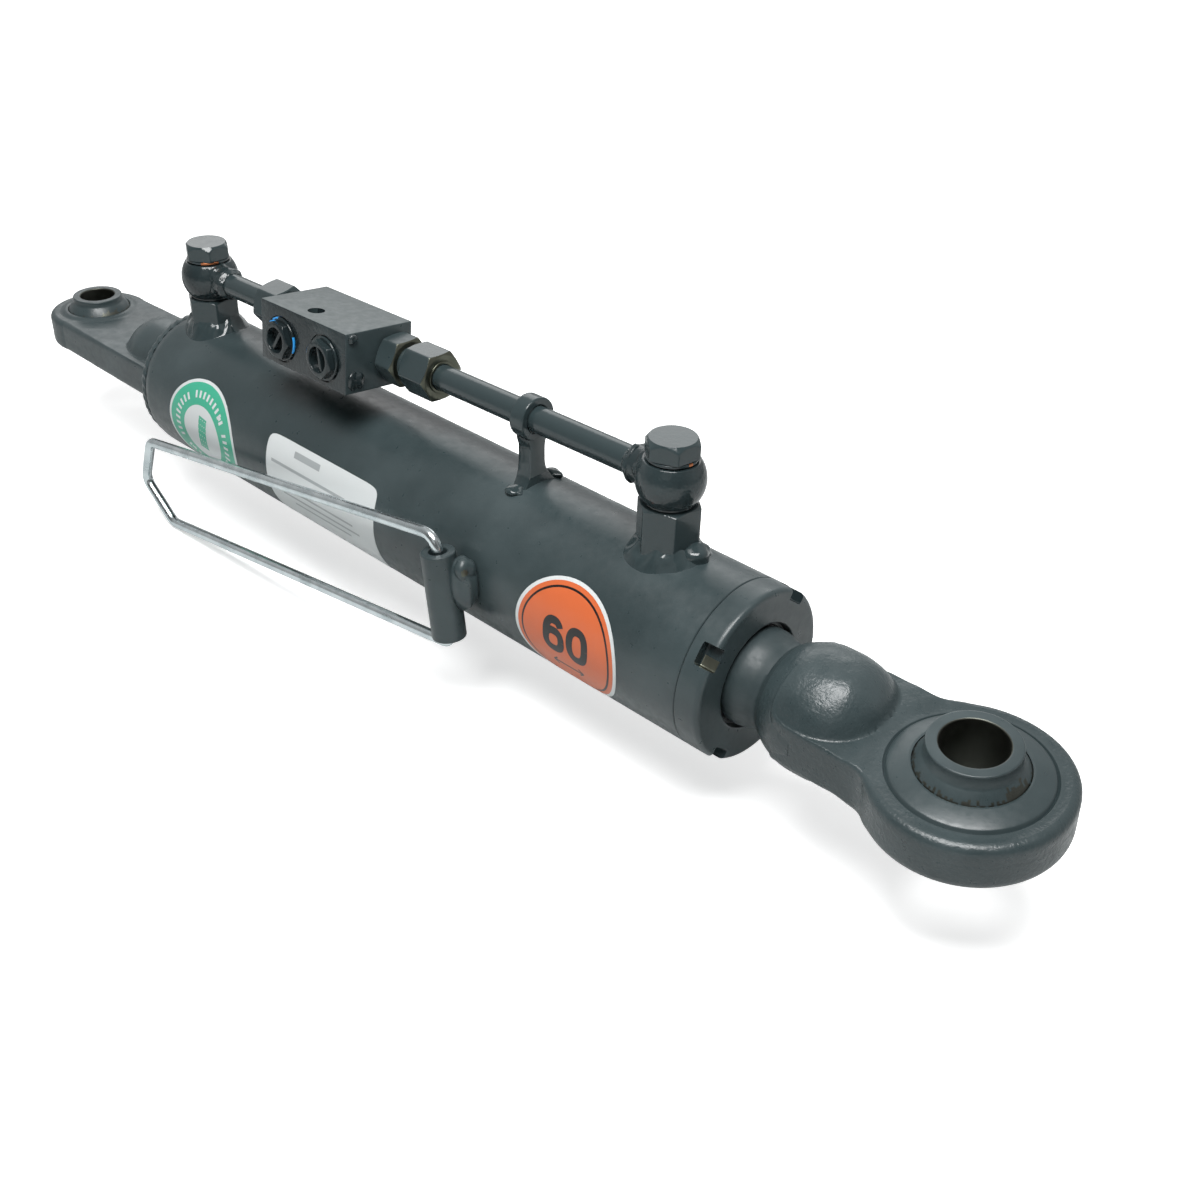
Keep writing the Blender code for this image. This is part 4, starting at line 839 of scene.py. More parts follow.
class LINK_OT_rear_eye(bpy.types.Operator):
    """Draw the forged rear eye: flat tongue, domed neck, boss and swaged lip"""

    bl_idname = "top_link.rear_eye"
    bl_label = "Rear eye"

    def execute(self, context):
        end = BARREL_START - FIT
        rim = end - 4.5
        neck_end = rim - 2.1
        nose_end = neck_end - 23.4
        neck_r, rim_r, spigot = 23.6, 32.8, BORE_R - FIT
        tongue_r, half_width, half_height = 28.0, 27.5, 9

        def reach(t):
            c, s = np.cos(t), np.abs(np.sin(t)) + 1e-9
            sides = np.minimum(half_width / s, (neck_end + 1.5) / np.maximum(c, 1e-9))
            return np.where(tongue_r * c < 5.27, tongue_r, sides)

        def height(x, y):
            neck = neck_r * np.sqrt(np.clip(1 - np.clip((nose_end - x) / 25, 0, 1) ** 2, 0, 1))
            dome = np.sqrt(np.maximum(neck**2 - y**2, 0))
            crease = 0.55 * np.exp(-((half_height - dome) ** 2) / 8) * (dome > 0)
            rough = 0.06 * lumps(x, y, 12, 8) * ease(np.hypot(x, y), 24, 32)
            return smooth_top(half_height + 0 * x, dome, 2.2) - crease + rough

        def edge(t):
            return 3.0 + 0 * t

        lip = [
            (10.0, 17.7), (10.25, 18.1), (10.3, 18.7), (10.2, 19.6), (9.7, 20.6), (9.15, 21.6), (9.0, 22.6),
        ]
        grid = forged_eye(20.3, lip, reach, height, edge, columns=360, rows=56, crowd=-0.5)
        boss = soften(
            [(neck_end - 3, 0), (neck_end - 3, neck_r - 0.7), (neck_end, neck_r), (rim, rim_r), (end, rim_r),
             (end, spigot), (end + 8.3, spigot), (end + 8.3, 0)],
            [0, 0, 2.5, 2.0, 0.4, 0, 0.8, 0],
        )
        piece("rear_eye_form", [(grid, True), lying(boss, 128)], "enamel", sharp=50)
        return {"FINISHED"}


class LINK_OT_balls(bpy.types.Operator):
    """Draw the two pierced balls"""

    bl_idname = "top_link.balls"
    bl_label = "Eye balls"

    def execute(self, context):
        for label, place, radius, half, collar, hole in (
            ("front", ROD_EYE, 24.5, 23.0, 17.6, 12.75),
            ("rear", HERE, 20.0, 17.5, 13.9, 9.65),
        ):
            lean = math.acos(collar / radius)
            t = np.linspace(lean, -lean, 41)
            round_side = np.stack([radius * np.sin(t), radius * np.cos(t)], 1)
            upper = [(0, hole), (half, hole), (half, collar), tuple(round_side[0])]
            upper = soften(upper, [0, 0.9, 0.7, 0], 4)
            upper = upper[upper[:, 0] > 0.2]
            lower = upper[::-1] * np.array([-1, 1])
            outline = divided(np.vstack([upper, round_side[1:-1], lower]), 8)
            ball = standing(loop(outline), 128, place)
            made = piece(label + "_eye_ball_form", [ball], "enamel", label + "_ball", 60)
            back = np.linalg.inv(place)
            coat(made, "bore", lambda c, n: np.hypot(*placed(c, back).T[:2]) < hole + 0.5)

            def rubbed(c, n):
                x, y, z = placed(c, back).T
                worn = np.abs(np.arctan2(y, x) + 0.1) < 0.3
                ragged = 0.05 * lumps(x * 5, y * 5 + z, 9, 3)
                band = (np.where(worn, 0.66, 0.56) + ragged) * half
                return (np.hypot(x, y) > collar + 0.9) & (np.abs(z) < band)

            coat(made, "bore", rubbed)
        return {"FINISHED"}


def weld_round(flats, flats_turn, outer, height, seed, place):
    """A fillet weld round a hexagonal boss on the barrel. At the angle t and
    the share s across it, r = wall + (toe - wall) s, and z is the barrel's
    curve sqrt(R^2 - y^2) plus a bead that falls as (1-s)^1.35 and swells by
    sin(pi s)."""
    t = np.linspace(0, 2 * np.pi, 240, endpoint=False)[None, :]
    s = np.linspace(0, 1, 19)[:, None]
    wall = hexagon_reach(t, flats, flats_turn) - 0.6
    toe = outer + lumps(t * outer, 0 * t, 18, seed)
    r = wall + (toe - wall) * s
    x, y = r * np.cos(t), r * np.sin(t)
    top = height * (1 + 0.25 * lumps(t * outer, 0 * t, 16, seed + 1))
    swell = np.sin(np.pi * s)
    bead = top * (1 - s) ** 1.35 + 0.9 * swell
    bead = bead + 0.55 * swell * (0.4 * np.sin(15 * t + 5 * s) + lumps(t * outer, s * 9, 9, seed + 2))
    base = np.sqrt(BARREL_R**2 - y**2)
    skin = np.stack([x, y, base + bead - 0.25 * s], -1)
    root = np.stack([x, y, base - 2.0], -1)
    return placed(np.concatenate([skin, root[-1:], root[:1], skin[:1]]), place), True


def port(label, along, boss_top, flats_turn, toward, seed, copper_at, copper_share):
    """A port boss with its weld, the banjo whose stub points toward 1 or -1,
    its washers and its bolt. The upper washer is bare at the angle copper_at,
    copper_share to each side."""
    place, flats_turn = shift(along, 0, 0), math.radians(flats_turn)
    boss_flats, bolt_flats, weld_toe, weld_height = 24.0, 20.6, 17.4, 6.2
    banjo_r, banjo_face, banjo_half, washer = 14.6, 8.7, 9, 1.5
    bolt_hole, washer_r, shank_r, head_height = 6.8, 10.9, 6.5, 7.5

    boss = standing(nut_profile(33.5, boss_top, 25.2, False), 192, place, hexagonal(boss_flats, flats_turn))
    piece(label + "_port_boss_form", [boss], "gloss", sharp=30)
    welds = [weld_round(boss_flats, flats_turn, weld_toe, weld_height, seed, place)]
    if label == "front":
        tack, tack_half = (463.5, 2.5, 38.6), (6.4, 7.4, 5.6)
        welds.append(blob(tack, tack_half, 0.05, 61))
    piece(label + "_port_weld_form", welds, "gloss", sharp=60)

    centre = boss_top + washer + banjo_half
    lean = math.asin(banjo_face / banjo_r)
    t = np.linspace(-lean, lean, 25)
    side = np.stack([centre + banjo_r * np.sin(t), banjo_r * np.cos(t)], 1)
    head = np.vstack([[[centre - banjo_face, bolt_hole]], side, [[centre + banjo_face, bolt_hole]]])
    head = soften(head, np.r_[0, 0.5, np.zeros(23), 0.5, 0], 3)
    heading = place @ shift(0, 0, centre) @ turn("Y", -LINE_SLOPE)
    braze = section([(10.2, 7.0), (10.8, 8.6), (12.6, 8.5), (14.2, 7.9), (14.2, 7.0)], 0.6)
    cuff = section([(16.0, 6.2), (17.2, 8.1), (19.0, 8.0), (21.6, 6.1), (20.0, 5.9)], 0.5)

    def lumpy(a, r, angle):
        return r + np.where(r > 6.5, 0.55 * lumps(angle * 7, a, 6, seed + 5), 0)

    stub = hollow(8.5, 18.5, 6.3, 7.9, 0.5)
    grids = [standing(loop(head), 128, place), lying(stub, 96, heading, None, toward)]
    grids += [lying(bead, 96, heading, lumpy, toward) for bead in (braze, cuff)]
    piece(label + "_banjo_form", grids, "thick_and_shaded", sharp=50)

    for name, start in (("lower", boss_top), ("upper", centre + banjo_half)):
        disk = hollow(start + FIT, start + washer, bolt_hole, washer_r, 0.3)
        made = piece(f"{label}_{name}_washer_form", [standing(disk, 96, place)], "thick_and_shaded")

        def bared(c, n):
            return np.abs(np.arctan2(c[:, 1], c[:, 0] - along) - copper_at) < copper_share

        if name == "upper":
            coat(made, "copper", bared)

    start = centre + banjo_half + washer + FIT
    head = nut_profile(start, start + head_height, bolt_flats, False, lean=50)
    shank = soften(solid(boss_top - 12, start + 3, shank_r), [0, 0.5, 0, 0])
    bolt = [standing(head, 192, place, hexagonal(bolt_flats, flats_turn)), standing(shank, 64, place)]
    piece(label + "_banjo_bolt_form", bolt, "gloss", sharp=30)


class LINK_OT_ports(bpy.types.Operator):
    """Draw the port bosses, their welds, and the banjos bolted on them"""

    bl_idname = "top_link.ports"
    bl_label = "Ports"

    def execute(self, context):
        rear_top, rear_turn, front_top, front_turn = 54.2, 32, 59.7, 22
        port("rear", REAR_PORT, rear_top, rear_turn, 1, seed=11, copper_at=-0.5, copper_share=0.42)
        port("front", FRONT_PORT, front_top, front_turn, -1, seed=23, copper_at=-0.1, copper_share=0.1)
        return {"FINISHED"}


class LINK_OT_pipes(bpy.types.Operator):
    """Draw the two pipes and the clip that carries the front one"""

    bl_idname = "top_link.pipes"
    bl_label = "Pipes"

    def execute(self, context):
        stub_end, pipe_bore, pipe_r = 11.8, 4, 6
        line_length = math.hypot(FRONT_LEVEL - REAR_LEVEL, FRONT_PORT - REAR_PORT)
        for label, start, end in (
            ("rear", stub_end, along_line(198.2)),
            ("front", along_line(297.3), line_length - stub_end),
        ):
            pipe = lying(hollow(start, end, pipe_bore, pipe_r, 0.4), 96, LINE)
            piece(label + "_pipe_form", [pipe], "gloss")

        spot, eye_half, eye_r, eye_drop, foot_half, leg_half = 371.0, 4, 9.7, 8.2, 15.5, 4.5
        level = REAR_LEVEL + math.tan(LINE_SLOPE) * (spot - REAR_PORT)
        middle = along_line(spot)
        eye = lying(hollow(middle - eye_half, middle + eye_half, pipe_r + 0.2, eye_r, 0.7), 96, LINE)
        s = np.linspace(0, 1, 40)
        foot = math.sqrt(BARREL_R**2 - foot_half**2) - 1
        rise = foot + (level - eye_drop - foot) * s
        half = leg_half + 11.0 * (1 - ease(s, -0.15, 0.66)) ** 1.9 + 1.2 * ease(s, 0.8, 1)
        bevel = np.array([[-4, -0.7], [-3.8, -0.25], [-3.3, 0], [3.3, 0], [3.8, -0.25], [4, -0.7]])
        sides = []
        for sign, order in ((1, bevel), (-1, bevel[::-1])):
            shorter = 3.2 * (1 - ease(s, 0, 0.5)) if sign < 0 else 0
            y = sign * ((half - shorter)[:, None] + order[None, :, 1])
            sides.append(np.stack(np.broadcast_arrays(spot + order[None, :, 0], y, rise[:, None]), -1))
        grids = [eye, (capped(np.concatenate(sides, 1)), True)]
        tack_half, tack_level = (4.6, 3.6, 2.2), 36.6
        grids += [blob((spot, y, tack_level), tack_half, 0.12, seed) for y, seed in ((-10.6, 4), (13.2, 8))]
        made = piece("pipe_clip_form", grids, "gloss", sharp=45)

        # The legs' faces toward +X take the paler enamel between a ragged line over the barrel and 6 mm
        # under the pipe's axis.
        def paler_front_band(c, n):
            ragged = 41 + 2 * lumps(c[:, 1], c[:, 2], 6, 2)
            return (n[:, 0] > 0.8) & (c[:, 2] > ragged) & (c[:, 2] < level - 6)

        coat(made, "paler_and_lit", paler_front_band)
        return {"FINISHED"}


class LINK_OT_block(bpy.types.Operator):
    """Draw the valve block, its blind plugs and the two port caps"""

    bl_idname = "top_link.block"
    bl_label = "Valve block"

    def execute(self, context):
        middle_y, middle_z, port_drop, port_offset = -8.589, 0.404, 1.2, 16.25
        near, level = middle_y - BLOCK_HALF[1], middle_z - port_drop
        hole_r, hole_setback, hole_inset = 4.1, 3, 10.3
        port_r, thread_r, thread_depth, face_depth = 11.2, 6.8, 9.5, 0.8
        box = box_at(BLOCK_HALF, 0.55, 4, 12, BLOCK @ shift(0, middle_y, middle_z))
        made = piece("valve_block_form", box, "enamel", sharp=28)
        place = BLOCK @ shift(-hole_setback, near + hole_inset, 0)
        cutters = [[standing(solid(middle_z - 18, middle_z + 18, hole_r), 48, place)]]
        sideways = turn("X", np.pi / 2)
        socket = [
            (2, 0), (2, port_r), (-face_depth, port_r), (-face_depth, thread_r), (-thread_depth, thread_r),
            (-thread_depth, 0),
        ]
        for offset in (-port_offset, port_offset):
            cutters.append([standing(socket, 64, BLOCK @ shift(offset, near, level) @ sideways)])
        drilled(made, cutters, "enamel")
        # Painted shade: the block's near face takes the darker run enamel, whose gloss is real.
        coat(made, "thick_and_shaded", lambda c, n: (n @ BLOCK[:3, :3])[:, 1] < -0.7)
        # Painted highlight: the block's top faces take the paler matt enamel.
        coat(made, "paler_and_lit", lambda c, n: (n @ BLOCK[:3, :3])[:, 2] > 0.7)

        cap_flats, cap_top, well_r, floor, plug_r, rib_half = 16.5, 4.9, 6.0, -3.1, 6.3, (5.9, 0.9, 3.4)
        well = soften([(cap_top, 7.0), (cap_top, well_r), (floor, well_r), (floor, 0)], [0, 0.4, 0, 0])
        crown = np.vstack([nut_profile(1.0, cap_top, cap_flats, False)[:-1], well])
        flange = soften([(0.3, 0), (0.3, 10.4), (1.7, 10.4), (1.7, 6.5)], [0, 0.5, 0.6, 0])
        for label, offset, seed in (("rear", -port_offset, 5), ("front", port_offset, 9)):
            place = BLOCK @ shift(offset, near + face_depth, level) @ sideways @ turn("Z", 0.2 * seed)
            grids = [
                standing(crown, 144, place, hexagonal(cap_flats, 0.0, 6.2)),
                standing(flange, 96, place),
                standing(solid(-9, 0.6, plug_r), 48, place),
            ]
            grids += box_at(rib_half, 0.3, 3, 4, place @ shift(0, 0, 0.3))
            made = piece(label + "_port_plug_form", grids, "thick_and_shaded", sharp=35)
            back = np.linalg.inv(BLOCK @ shift(offset, near, level))

            def unpainted(c, n):
                x, _, z = placed(c, back).T
                angle, reach = np.arctan2(z, x), np.hypot(x, z)
                above = (reach > 8.9) & (np.abs(angle - 1.95) < 0.26)
                beside = (reach > 10.0) & (np.abs(angle + 0.05) < 0.42)
                return (above | beside) & (label == "rear")

            coat(made, "cap", unpainted)
        knobs = [
            blob((BLOCK_HALF[0] - 0.15, near + 1.4 + size, rise), (1.9, size, size), 0.09, seed, BLOCK)
            for rise, size, seed in ((12.2, 2.5, 31), (-8.1, 4.6, 37))
        ]
        piece("block_sealed_drillings", knobs, "thick_and_shaded", sharp=60)
        return {"FINISHED"}


class LINK_OT_fittings(bpy.types.Operator):
    """Draw the adapters, the union nuts and the lips in their mouths"""

    bl_idname = "top_link.fittings"
    bl_label = "Fittings"

    def execute(self, context):
        place = LINE @ shift(BLOCK_PLACE, 0, 0)
        face, flats, stem_r, thread_r, mouth_r = BLOCK_HALF[0] + FIT, 21.5, 7.5, 8.0, 6.3
        for label, side, neck, union, turned_by in (
            ("front", 1, 25.4, 18.0, 0.0),
            ("rear", -1, 22.2, 16.5, math.radians(10)),
        ):
            end = face + neck
            stem = [
                (face - 9.4, 4), (face - 9.4, stem_r), (face, stem_r), (face, thread_r),
                (end - 1.5, thread_r), (end, 7.2), (end, mouth_r), (end - 7, mouth_r), (end - 7, 4),
            ]
            grids = [lying(section(stem, 0.25), 96, place, side=side)]
            if label == "front":
                grip = nut_profile(face, face + 12, flats, True, 7.6)
                grids.append(lying(loop(grip), 192, place, hexagonal(flats, np.pi / 6, 8.3), side))
            look = "enamel" if label == "front" else "bare"
            made = piece(label + "_adapter_form", grids, look, sharp=30)
            coat(made, "bare", lambda c, n: np.abs(n[:, 0]) > 0.4)

            start = end - (union - 9)
            mouth = start + union
            cone = [[mouth - 0.6, mouth_r], [mouth - 5, mouth_r], [mouth - 6.5, 8.3], [start + 0.6, 8.3]]
            nut = loop(np.vstack([nut_profile(start, mouth, flats, True, 8.3)[:-2], cone]))
            nut = lying(nut, 192, place, hexagonal(flats, np.pi / 6 - turned_by, 8.6), side)
            made = piece(label + "_union_nut_form", [nut], "gloss", sharp=30)
            coat(made, "bare", lambda c, n: (n[:, 0] > 0.4) & (label == "front"))
            back, tip = mouth - 0.4, mouth + 0.25
            lip = section([(back, 6.2), (back, 7.6), (tip, 7.4), (tip, 6.2)], 0.2)
            piece(label + "_union_mouth", [lying(lip, 96, place, side=side)], "bare")
        return {"FINISHED"}


def wire_path():
    """The bail's centre line in its own plane, x along the barrel, z up:
    straight runs with rounded corners."""
    corners = [(0, 9), (0, 28.6), (-239, 19.6), (-253.5, -5), (-233, -26.1), (0, -24.8), (0, -9)]
    line = divided(soften(corners, [0, 10, 8, 8, 8, 5, 0], 20), 12)
    return np.stack([line[:, 0], 0 * line[:, 0], line[:, 1]], 1)


class LINK_OT_bail(bpy.types.Operator):
    """Draw the wire handle, its sleeve and the weld that holds the sleeve"""

    bl_idname = "top_link.bail"
    bl_label = "Handle"

    def execute(self, context):
        wire_r, sleeve_half, sleeve_r = 2.6, 21, 7.8
        wire = placed(capped(swept(wire_path(), wire_r, 28)), HINGE)
        piece("bail_form", [(wire, True)], "zinc", "bail", 60)
        sleeve = [
            (-sleeve_half, 4.3), (-sleeve_half, sleeve_r), (sleeve_half, sleeve_r), (sleeve_half, 4.3),
            (16, 3.1), (-16, 3.1),
        ]
        sleeve = section(sleeve, [0.4, 0.7, 0.7, 0.4, 0, 0])
        piece("bail_sleeve_form", [standing(sleeve, 96, HINGE)], "enamel")
        lug, lug_half = (8.6, 4.6, 6.0), (7.4, 6.0, 13.0)
        drip, drip_half = (11.5, 4.4, 13.5), (4.0, 5.4, 5.4)
        grids = [blob(lug, lug_half, 0.06, 17, HINGE, 96), blob(drip, drip_half, 0.05, 27, HINGE)]
        made = piece("bail_lug_form", grids, "enamel", sharp=60)
        chip, chip_r = (377.5, -46.5, 12), 1.7
        coat(made, "bare", lambda c, n: np.linalg.norm((c - chip) * (1, 0.6, 0.8), axis=1) < chip_r)
        return {"FINISHED"}


def on_barrel(x, angle, lift):
    """A point of a label: x along the barrel, angle from the top toward the
    near side, lift above the paint."""
    r = BARREL_R + lift
    return np.stack([x, -r * np.sin(angle), r * np.cos(angle)], -1)


def label_patch(name, centre, edge, look, lift, rows=26):
    """A label laid on the barrel. edge(t) gives its outline in millimetres
    about its centre (place along the barrel, angle); a point at the share s
    lies at centre + s edge, and the rim drops to the paint."""
    t = np.linspace(0, 2 * np.pi, 160, endpoint=False)
    s = np.r_[np.linspace(0, 1, rows), 1.0][:, None]
    x, y = edge(t)
    drop = np.r_[np.zeros(rows), 1.0][:, None]
    height = lift - (lift + 0.02) * drop + 0 * s * x
    grid = on_barrel(centre[0] + s * x, centre[1] + s * y / BARREL_R, height)
    piece(name, [(grid, True)], look, closed=False, sharp=50)


def disc(radius):
    return lambda t: (radius * np.cos(t), radius * np.sin(t))


def sheet(half_x, half_y, power=14.0):
    """A rectangle with rounded corners: |x/a|^n + |y/b|^n = 1."""

    def edge(t):
        c, s = np.cos(t), np.sin(t)
        scale = (np.abs(c) ** power + np.abs(s) ** power) ** (-1 / power)
        return half_x * c * scale, half_y * s * scale

    return edge


def marks(name, boxes, look, lift):
    """Printed bars on the barrel, each (x, angle, half length, half width,
    turn) in millimetres and radians, in one mesh."""
    x, angle, long, wide, lean = np.array(boxes, float).T[:, :, None, None]
    u = np.linspace(-1, 1, 7)[None, :, None] * long
    v = np.linspace(-1, 1, 5)[None, None, :] * wide
    across = x + u * np.cos(lean) - v * np.sin(lean)
    along = angle + (u * np.sin(lean) + v * np.cos(lean)) / BARREL_R
    grids = [(grid, False) for grid in on_barrel(across, along, lift)]
    piece(name, grids, look, closed=False, sharp=0)


def oval(t):
    """Points of |x|^2.5 + |y|^2.5 = 1 for the parameter t."""
    c, s = np.cos(t), np.sin(t)
    return np.hstack([np.sign(c) * np.abs(c) ** 0.8, np.sign(s) * np.abs(s) ** 0.8])


def stroke(line, x, angle, lift, wide=1.85):
    """A printed stroke: the band between line - wide n and line + wide n, where
    n is the line's normal, laid on the barrel."""
    along = np.gradient(line, axis=0)
    n = np.stack([along[:, 1], -along[:, 0]], 1) / np.linalg.norm(along, axis=1)[:, None]
    flat = line[:, None] + np.linspace(-wide, wide, 5)[None, :, None] * n[:, None]
    return on_barrel(x + flat[..., 0], angle - flat[..., 1] / BARREL_R, lift), False


class LINK_OT_labels(bpy.types.Operator):
    """Lay the three labels on the barrel"""

    bl_idname = "top_link.labels"
    bl_label = "Labels"

    def execute(self, context):
        lift, layer = sizes().label_lift * 1000, 0.03
        middles = ((429.8, 93.8), (163.3, 94), (262.5, 98))
        orange, green, white = ((x, math.radians(degrees)) for x, degrees in middles)
        for name, centre, edge, look, layers in (
            ("orange_label_border", orange, disc(29.4), "white", 0),
            ("orange_label_band", orange, disc(27.7), "orange", 1),
            ("orange_label_line", orange, disc(25.6), "ink", 2),
            ("orange_label_face", orange, disc(24.6), "orange", 3),
            ("green_label_border", green, disc(29.6), "white", 0),
            ("green_label_band", green, disc(27.9), "green", 1),
            ("green_label_centre", green, disc(15.9), "white", 2),
            ("white_label", white, sheet(42, 25.5), "white", 0),
        ):
            label_patch(name, centre, edge, look, lift + layer * layers)

        ring_r = 21.6
        turns = np.arange(40) * np.pi / 20
        turns = turns[np.abs(np.sin(2 * turns + 0.9)) > 0.18]
        ticks = [(a, 1.9, 0.75) for a in turns] + [(a, 1.2, 1.2) for a in (-0.75, 2.4)]
        ticks = [
            (green[0] + ring_r * math.cos(a), green[1] + ring_r * math.sin(a) / BARREL_R, long, wide, a)
            for a, long, wide in ticks
        ]
        marks("green_label_ticks", ticks, "white", lift + 2 * layer)
        bar = (green[0] + 0.5, green[1] - 0.02, 9.5, 3.4, 1.72)
        marks("green_label_bar", [bar], "green", lift + 3 * layer)

        rows = [(252, 67.5, 10, 1.7), (254, 80, 29, 0.8)]
        rows += [(262, degrees, long, 0.6) for degrees, long in ((98, 26), (104, 30), (110, 22))]
        rows = [(x, math.radians(degrees), long, wide, 0) for x, degrees, long, wide in rows]
        marks("white_label_rows", rows, "print", lift + layer)

        arrow_x, arrow_at, arrow_half, barb, bend = 430, math.radians(113), 8.6, 1.6, 0.7
        arrow = [(arrow_x, arrow_at, arrow_half, 0.45, 0)]
        for end, rise in ((-7.4, 1.0), (-7.4, -1.0), (7.4, -1.0), (7.4, 1.0)):
            lean = bend if end * rise < 0 else -bend
            arrow.append((arrow_x + end, arrow_at + rise / BARREL_R, barb, 0.45, lean))
        marks("length_arrow", arrow, "ink", lift + 4 * layer)

        half_x, half_y, bowl_y, drop = 4.4, 7.0, 4.5, 2.5
        t = np.linspace(0, 2 * np.pi, 61)[:, None]
        zero = oval(t) * (half_x, half_y)
        bowl = oval(t) * (half_x, bowl_y) - (0, drop)
        hook = np.vstack([oval(t[6:31] * 0.97) * (half_x, half_y), [[-half_x, -1.0], [-half_x, -drop]]])
        digits_at = math.radians(90.6)
        strokes = [
            stroke(line, at, digits_at, lift + 4 * layer + 0.02 * number)
            for number, (at, line) in enumerate(((437.0, zero), (423.4, bowl), (423.4, hook)))
        ]
        piece("length_mark", strokes, "ink", closed=False, sharp=0)
        return {"FINISHED"}


class LINK_OT_inner(bpy.types.Operator):
    """Give the CAD pieces inside the barrel and the block their materials"""

    bl_idname = "top_link.inner"
    bl_label = "Inner pieces"

    def execute(self, context):
        turned_steel = ["piston", "piston_nut", "pilot_piston", "front_poppet", "rear_poppet"]
        finishes = {
            "steel": turned_steel + ["front_cutting_ring", "rear_cutting_ring"],
            "bronze": ["front_wear_ring", "rear_wear_ring", "rod_bush"],
            "nitrile": ["gland_o_ring"],
            "polyurethane": ["rod_seal", "piston_seal"],
        }
        for look, nodes in finishes.items():
            for node in nodes:
                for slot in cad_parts[node].material_slots:
                    slot.material = looks[look]
        return {"FINISHED"}


CAMERA_SPOT, CAMERA_TARGET = (0.77783, -0.39251, 0.34386), (0.41412, 0, -0.004918)
DARK_WAY = (0.45, -0.85, 0.25)


def set_floor(scene):
    """A matt board below the link. It keeps the link's shadow, and its glow
    rises to white between the two distances from the origin."""
    level, half, shadow_end, white_start = cad_box[0][2] - 0.0006, 6, 0.7, 1.7
    mesh = bpy.data.meshes.new("floor")
    corners = np.array([[-1, -1], [1, -1], [1, 1], [-1, 1]]) * half
    mesh.from_pydata(np.c_[corners, np.full(4, level)], [], [(0, 1, 2, 3)])
    floor = bpy.data.objects.new("floor", mesh)
    scene.collection.objects.link(floor)
    material, shader, place = started("Studio floor, matt painted board", colours().floor, 0.8)
    seen = add(material, "ShaderNodeLightPath").outputs["Is Camera Ray"]
    join(material, mixed(material, seen, linear("#C9CCCC"), colours().floor), shader.inputs["Base Color"])
    away = add(material, "ShaderNodeVectorMath", {0: place}, operation="LENGTH").outputs["Value"]
    lift = spread(material, away, shadow_end, white_start, 0.5, 1.0)
    strength = add(material, "ShaderNodeMath", {0: seen, 1: lift}, operation="MULTIPLY").outputs[0]
    glow = add(material, "ShaderNodeEmission", {"Strength": strength}).outputs[0]
    total = add(material, "ShaderNodeAddShader", {0: shader.outputs[0], 1: glow}).outputs[0]
    join(material, total, material.node_tree.nodes["Material Output"].inputs["Surface"])
    mesh.materials.append(material)


def set_room(scene, stage):
    """A white room, darker on the side that DARK_WAY points to."""
    world = bpy.data.worlds.new("White room")
    scene.world = world
    world.use_nodes = True
    back = world.node_tree.nodes["Background"]
    back.inputs["Color"].default_value = (1, 1, 1, 1)
    way = add(world, "ShaderNodeTexCoord").outputs["Generated"]
    facing = add(world, "ShaderNodeVectorMath", {0: way, 1: DARK_WAY}, operation="DOT_PRODUCT")
    shade = spread(world, facing.outputs["Value"], -0.1, 0.75, stage.room, stage.room * stage.dark)
    seen = add(world, "ShaderNodeLightPath").outputs["Is Camera Ray"]
    join(world, spread(world, seen, 0.0, 1.0, shade, 1.0), back.inputs["Strength"])


def set_lights(scene, stage):
    for name, power, size_x, size_y, place, target in (
        ("Overhead softbox", stage.key, 0.8, 0.6, (0.62, -0.36, 1.15), (0.36, 0, 0)),
        ("Fill softbox", stage.fill, 0.9, 0.7, (0.95, -1.15, 0.75), (0.35, 0, 0)),
        ("Side softbox", stage.side, 1.7, 0.7, (-0.6, 0.95, 0.8), (0.3, 0, 0)),
    ):
        lamp = bpy.data.lights.new(name, "AREA")
        lamp.shape, lamp.size, lamp.size_y, lamp.energy = "RECTANGLE", size_x, size_y, power
        holder = bpy.data.objects.new(name, lamp)
        scene.collection.objects.link(holder)
        holder.location = place
        holder.rotation_euler = (Vector(target) - Vector(place)).to_track_quat("-Z", "Y").to_euler()


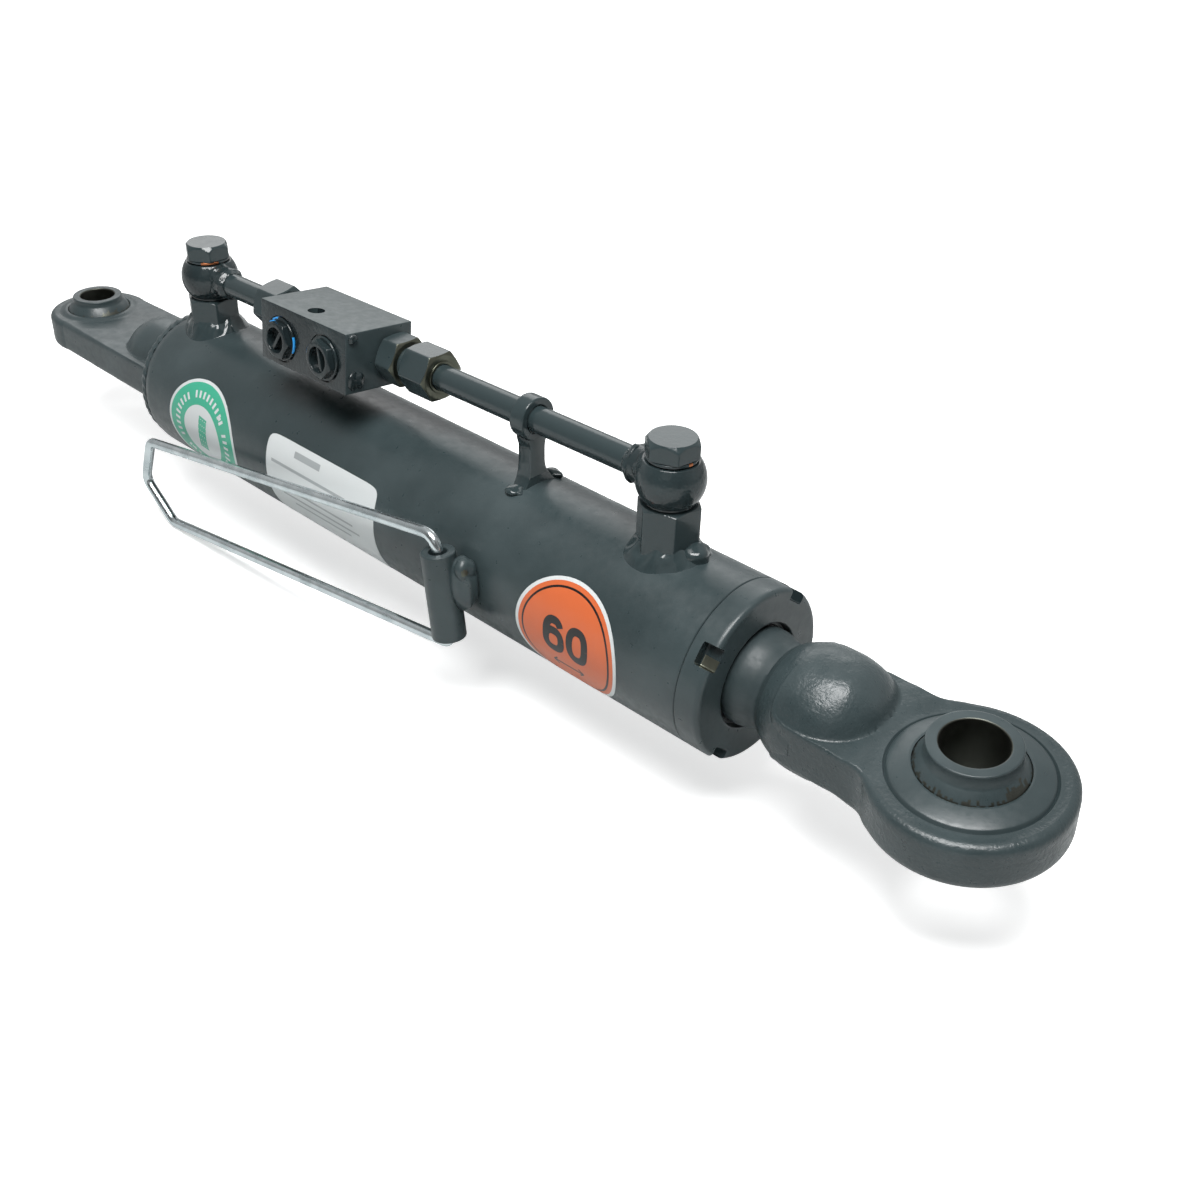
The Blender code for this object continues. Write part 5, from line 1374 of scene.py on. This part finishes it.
def set_camera(scene, stage):
    """The camera looks from its spot at its target and is then rolled."""
    view = bpy.data.cameras.new("Camera")
    view.lens, view.sensor_width, view.sensor_fit = stage.lens, 36, "HORIZONTAL"
    view.clip_end = 50
    camera = bpy.data.objects.new("Camera", view)
    scene.collection.objects.link(camera)
    spot = np.array(CAMERA_SPOT)
    ahead = np.array(CAMERA_TARGET) - spot
    ahead /= np.linalg.norm(ahead)
    right = np.cross(ahead, (0, 0, 1))
    right /= np.linalg.norm(right)
    down = np.cross(ahead, right)
    c, s = math.cos(stage.roll), math.sin(stage.roll)
    right, down = c * right + s * down, -s * right + c * down
    camera.matrix_world = Matrix(np.vstack([np.c_[right, -down, -ahead, spot], [0, 0, 0, 1]]).tolist())
    scene.camera = camera


class LINK_OT_stage(bpy.types.Operator):
    """Set the floor, the softboxes, the white room and the camera"""

    bl_idname = "top_link.stage"
    bl_label = "Stage"

    def execute(self, context):
        scene, stage = bpy.context.scene, bpy.context.scene.link_stage
        scene.view_settings.view_transform = "Standard"
        set_floor(scene)
        set_room(scene, stage)
        set_lights(scene, stage)
        set_camera(scene, stage)
        return {"FINISHED"}


OPERATORS = (
    LINK_OT_materials, LINK_OT_barrel, LINK_OT_gland, LINK_OT_rod, LINK_OT_rod_eye, LINK_OT_rear_eye,
    LINK_OT_balls, LINK_OT_ports, LINK_OT_pipes, LINK_OT_block, LINK_OT_fittings, LINK_OT_bail,
    LINK_OT_labels, LINK_OT_inner, LINK_OT_stage,
)


class LINK_PT_panel(bpy.types.Panel):
    """Lists the steps that dress the link"""

    bl_idname = "LINK_PT_panel"
    bl_label = "Top Link"
    bl_space_type = "VIEW_3D"
    bl_region_type = "UI"
    bl_category = "Top Link"

    def draw(self, context):
        for operator in OPERATORS:
            self.layout.operator(operator.bl_idname)


def register():
    for group in (LinkColours, LinkSizes, LinkStage, *OPERATORS, LINK_PT_panel):
        bpy.utils.register_class(group)
    bpy.types.Scene.link_colours = PointerProperty(type=LinkColours)
    bpy.types.Scene.link_sizes = PointerProperty(type=LinkSizes)
    bpy.types.Scene.link_stage = PointerProperty(type=LinkStage)


def unregister():
    del bpy.types.Scene.link_colours, bpy.types.Scene.link_sizes, bpy.types.Scene.link_stage
    for group in (LINK_PT_panel, *reversed(OPERATORS), LinkStage, LinkSizes, LinkColours):
        bpy.utils.unregister_class(group)


def main():
    register()
    for operator in OPERATORS:
        step = getattr(bpy.ops.top_link, operator.bl_idname.split(".")[1])
        if step() != {"FINISHED"}:
            raise RuntimeError(operator.bl_label + " did not finish")


if __name__ == "__main__":
    main()
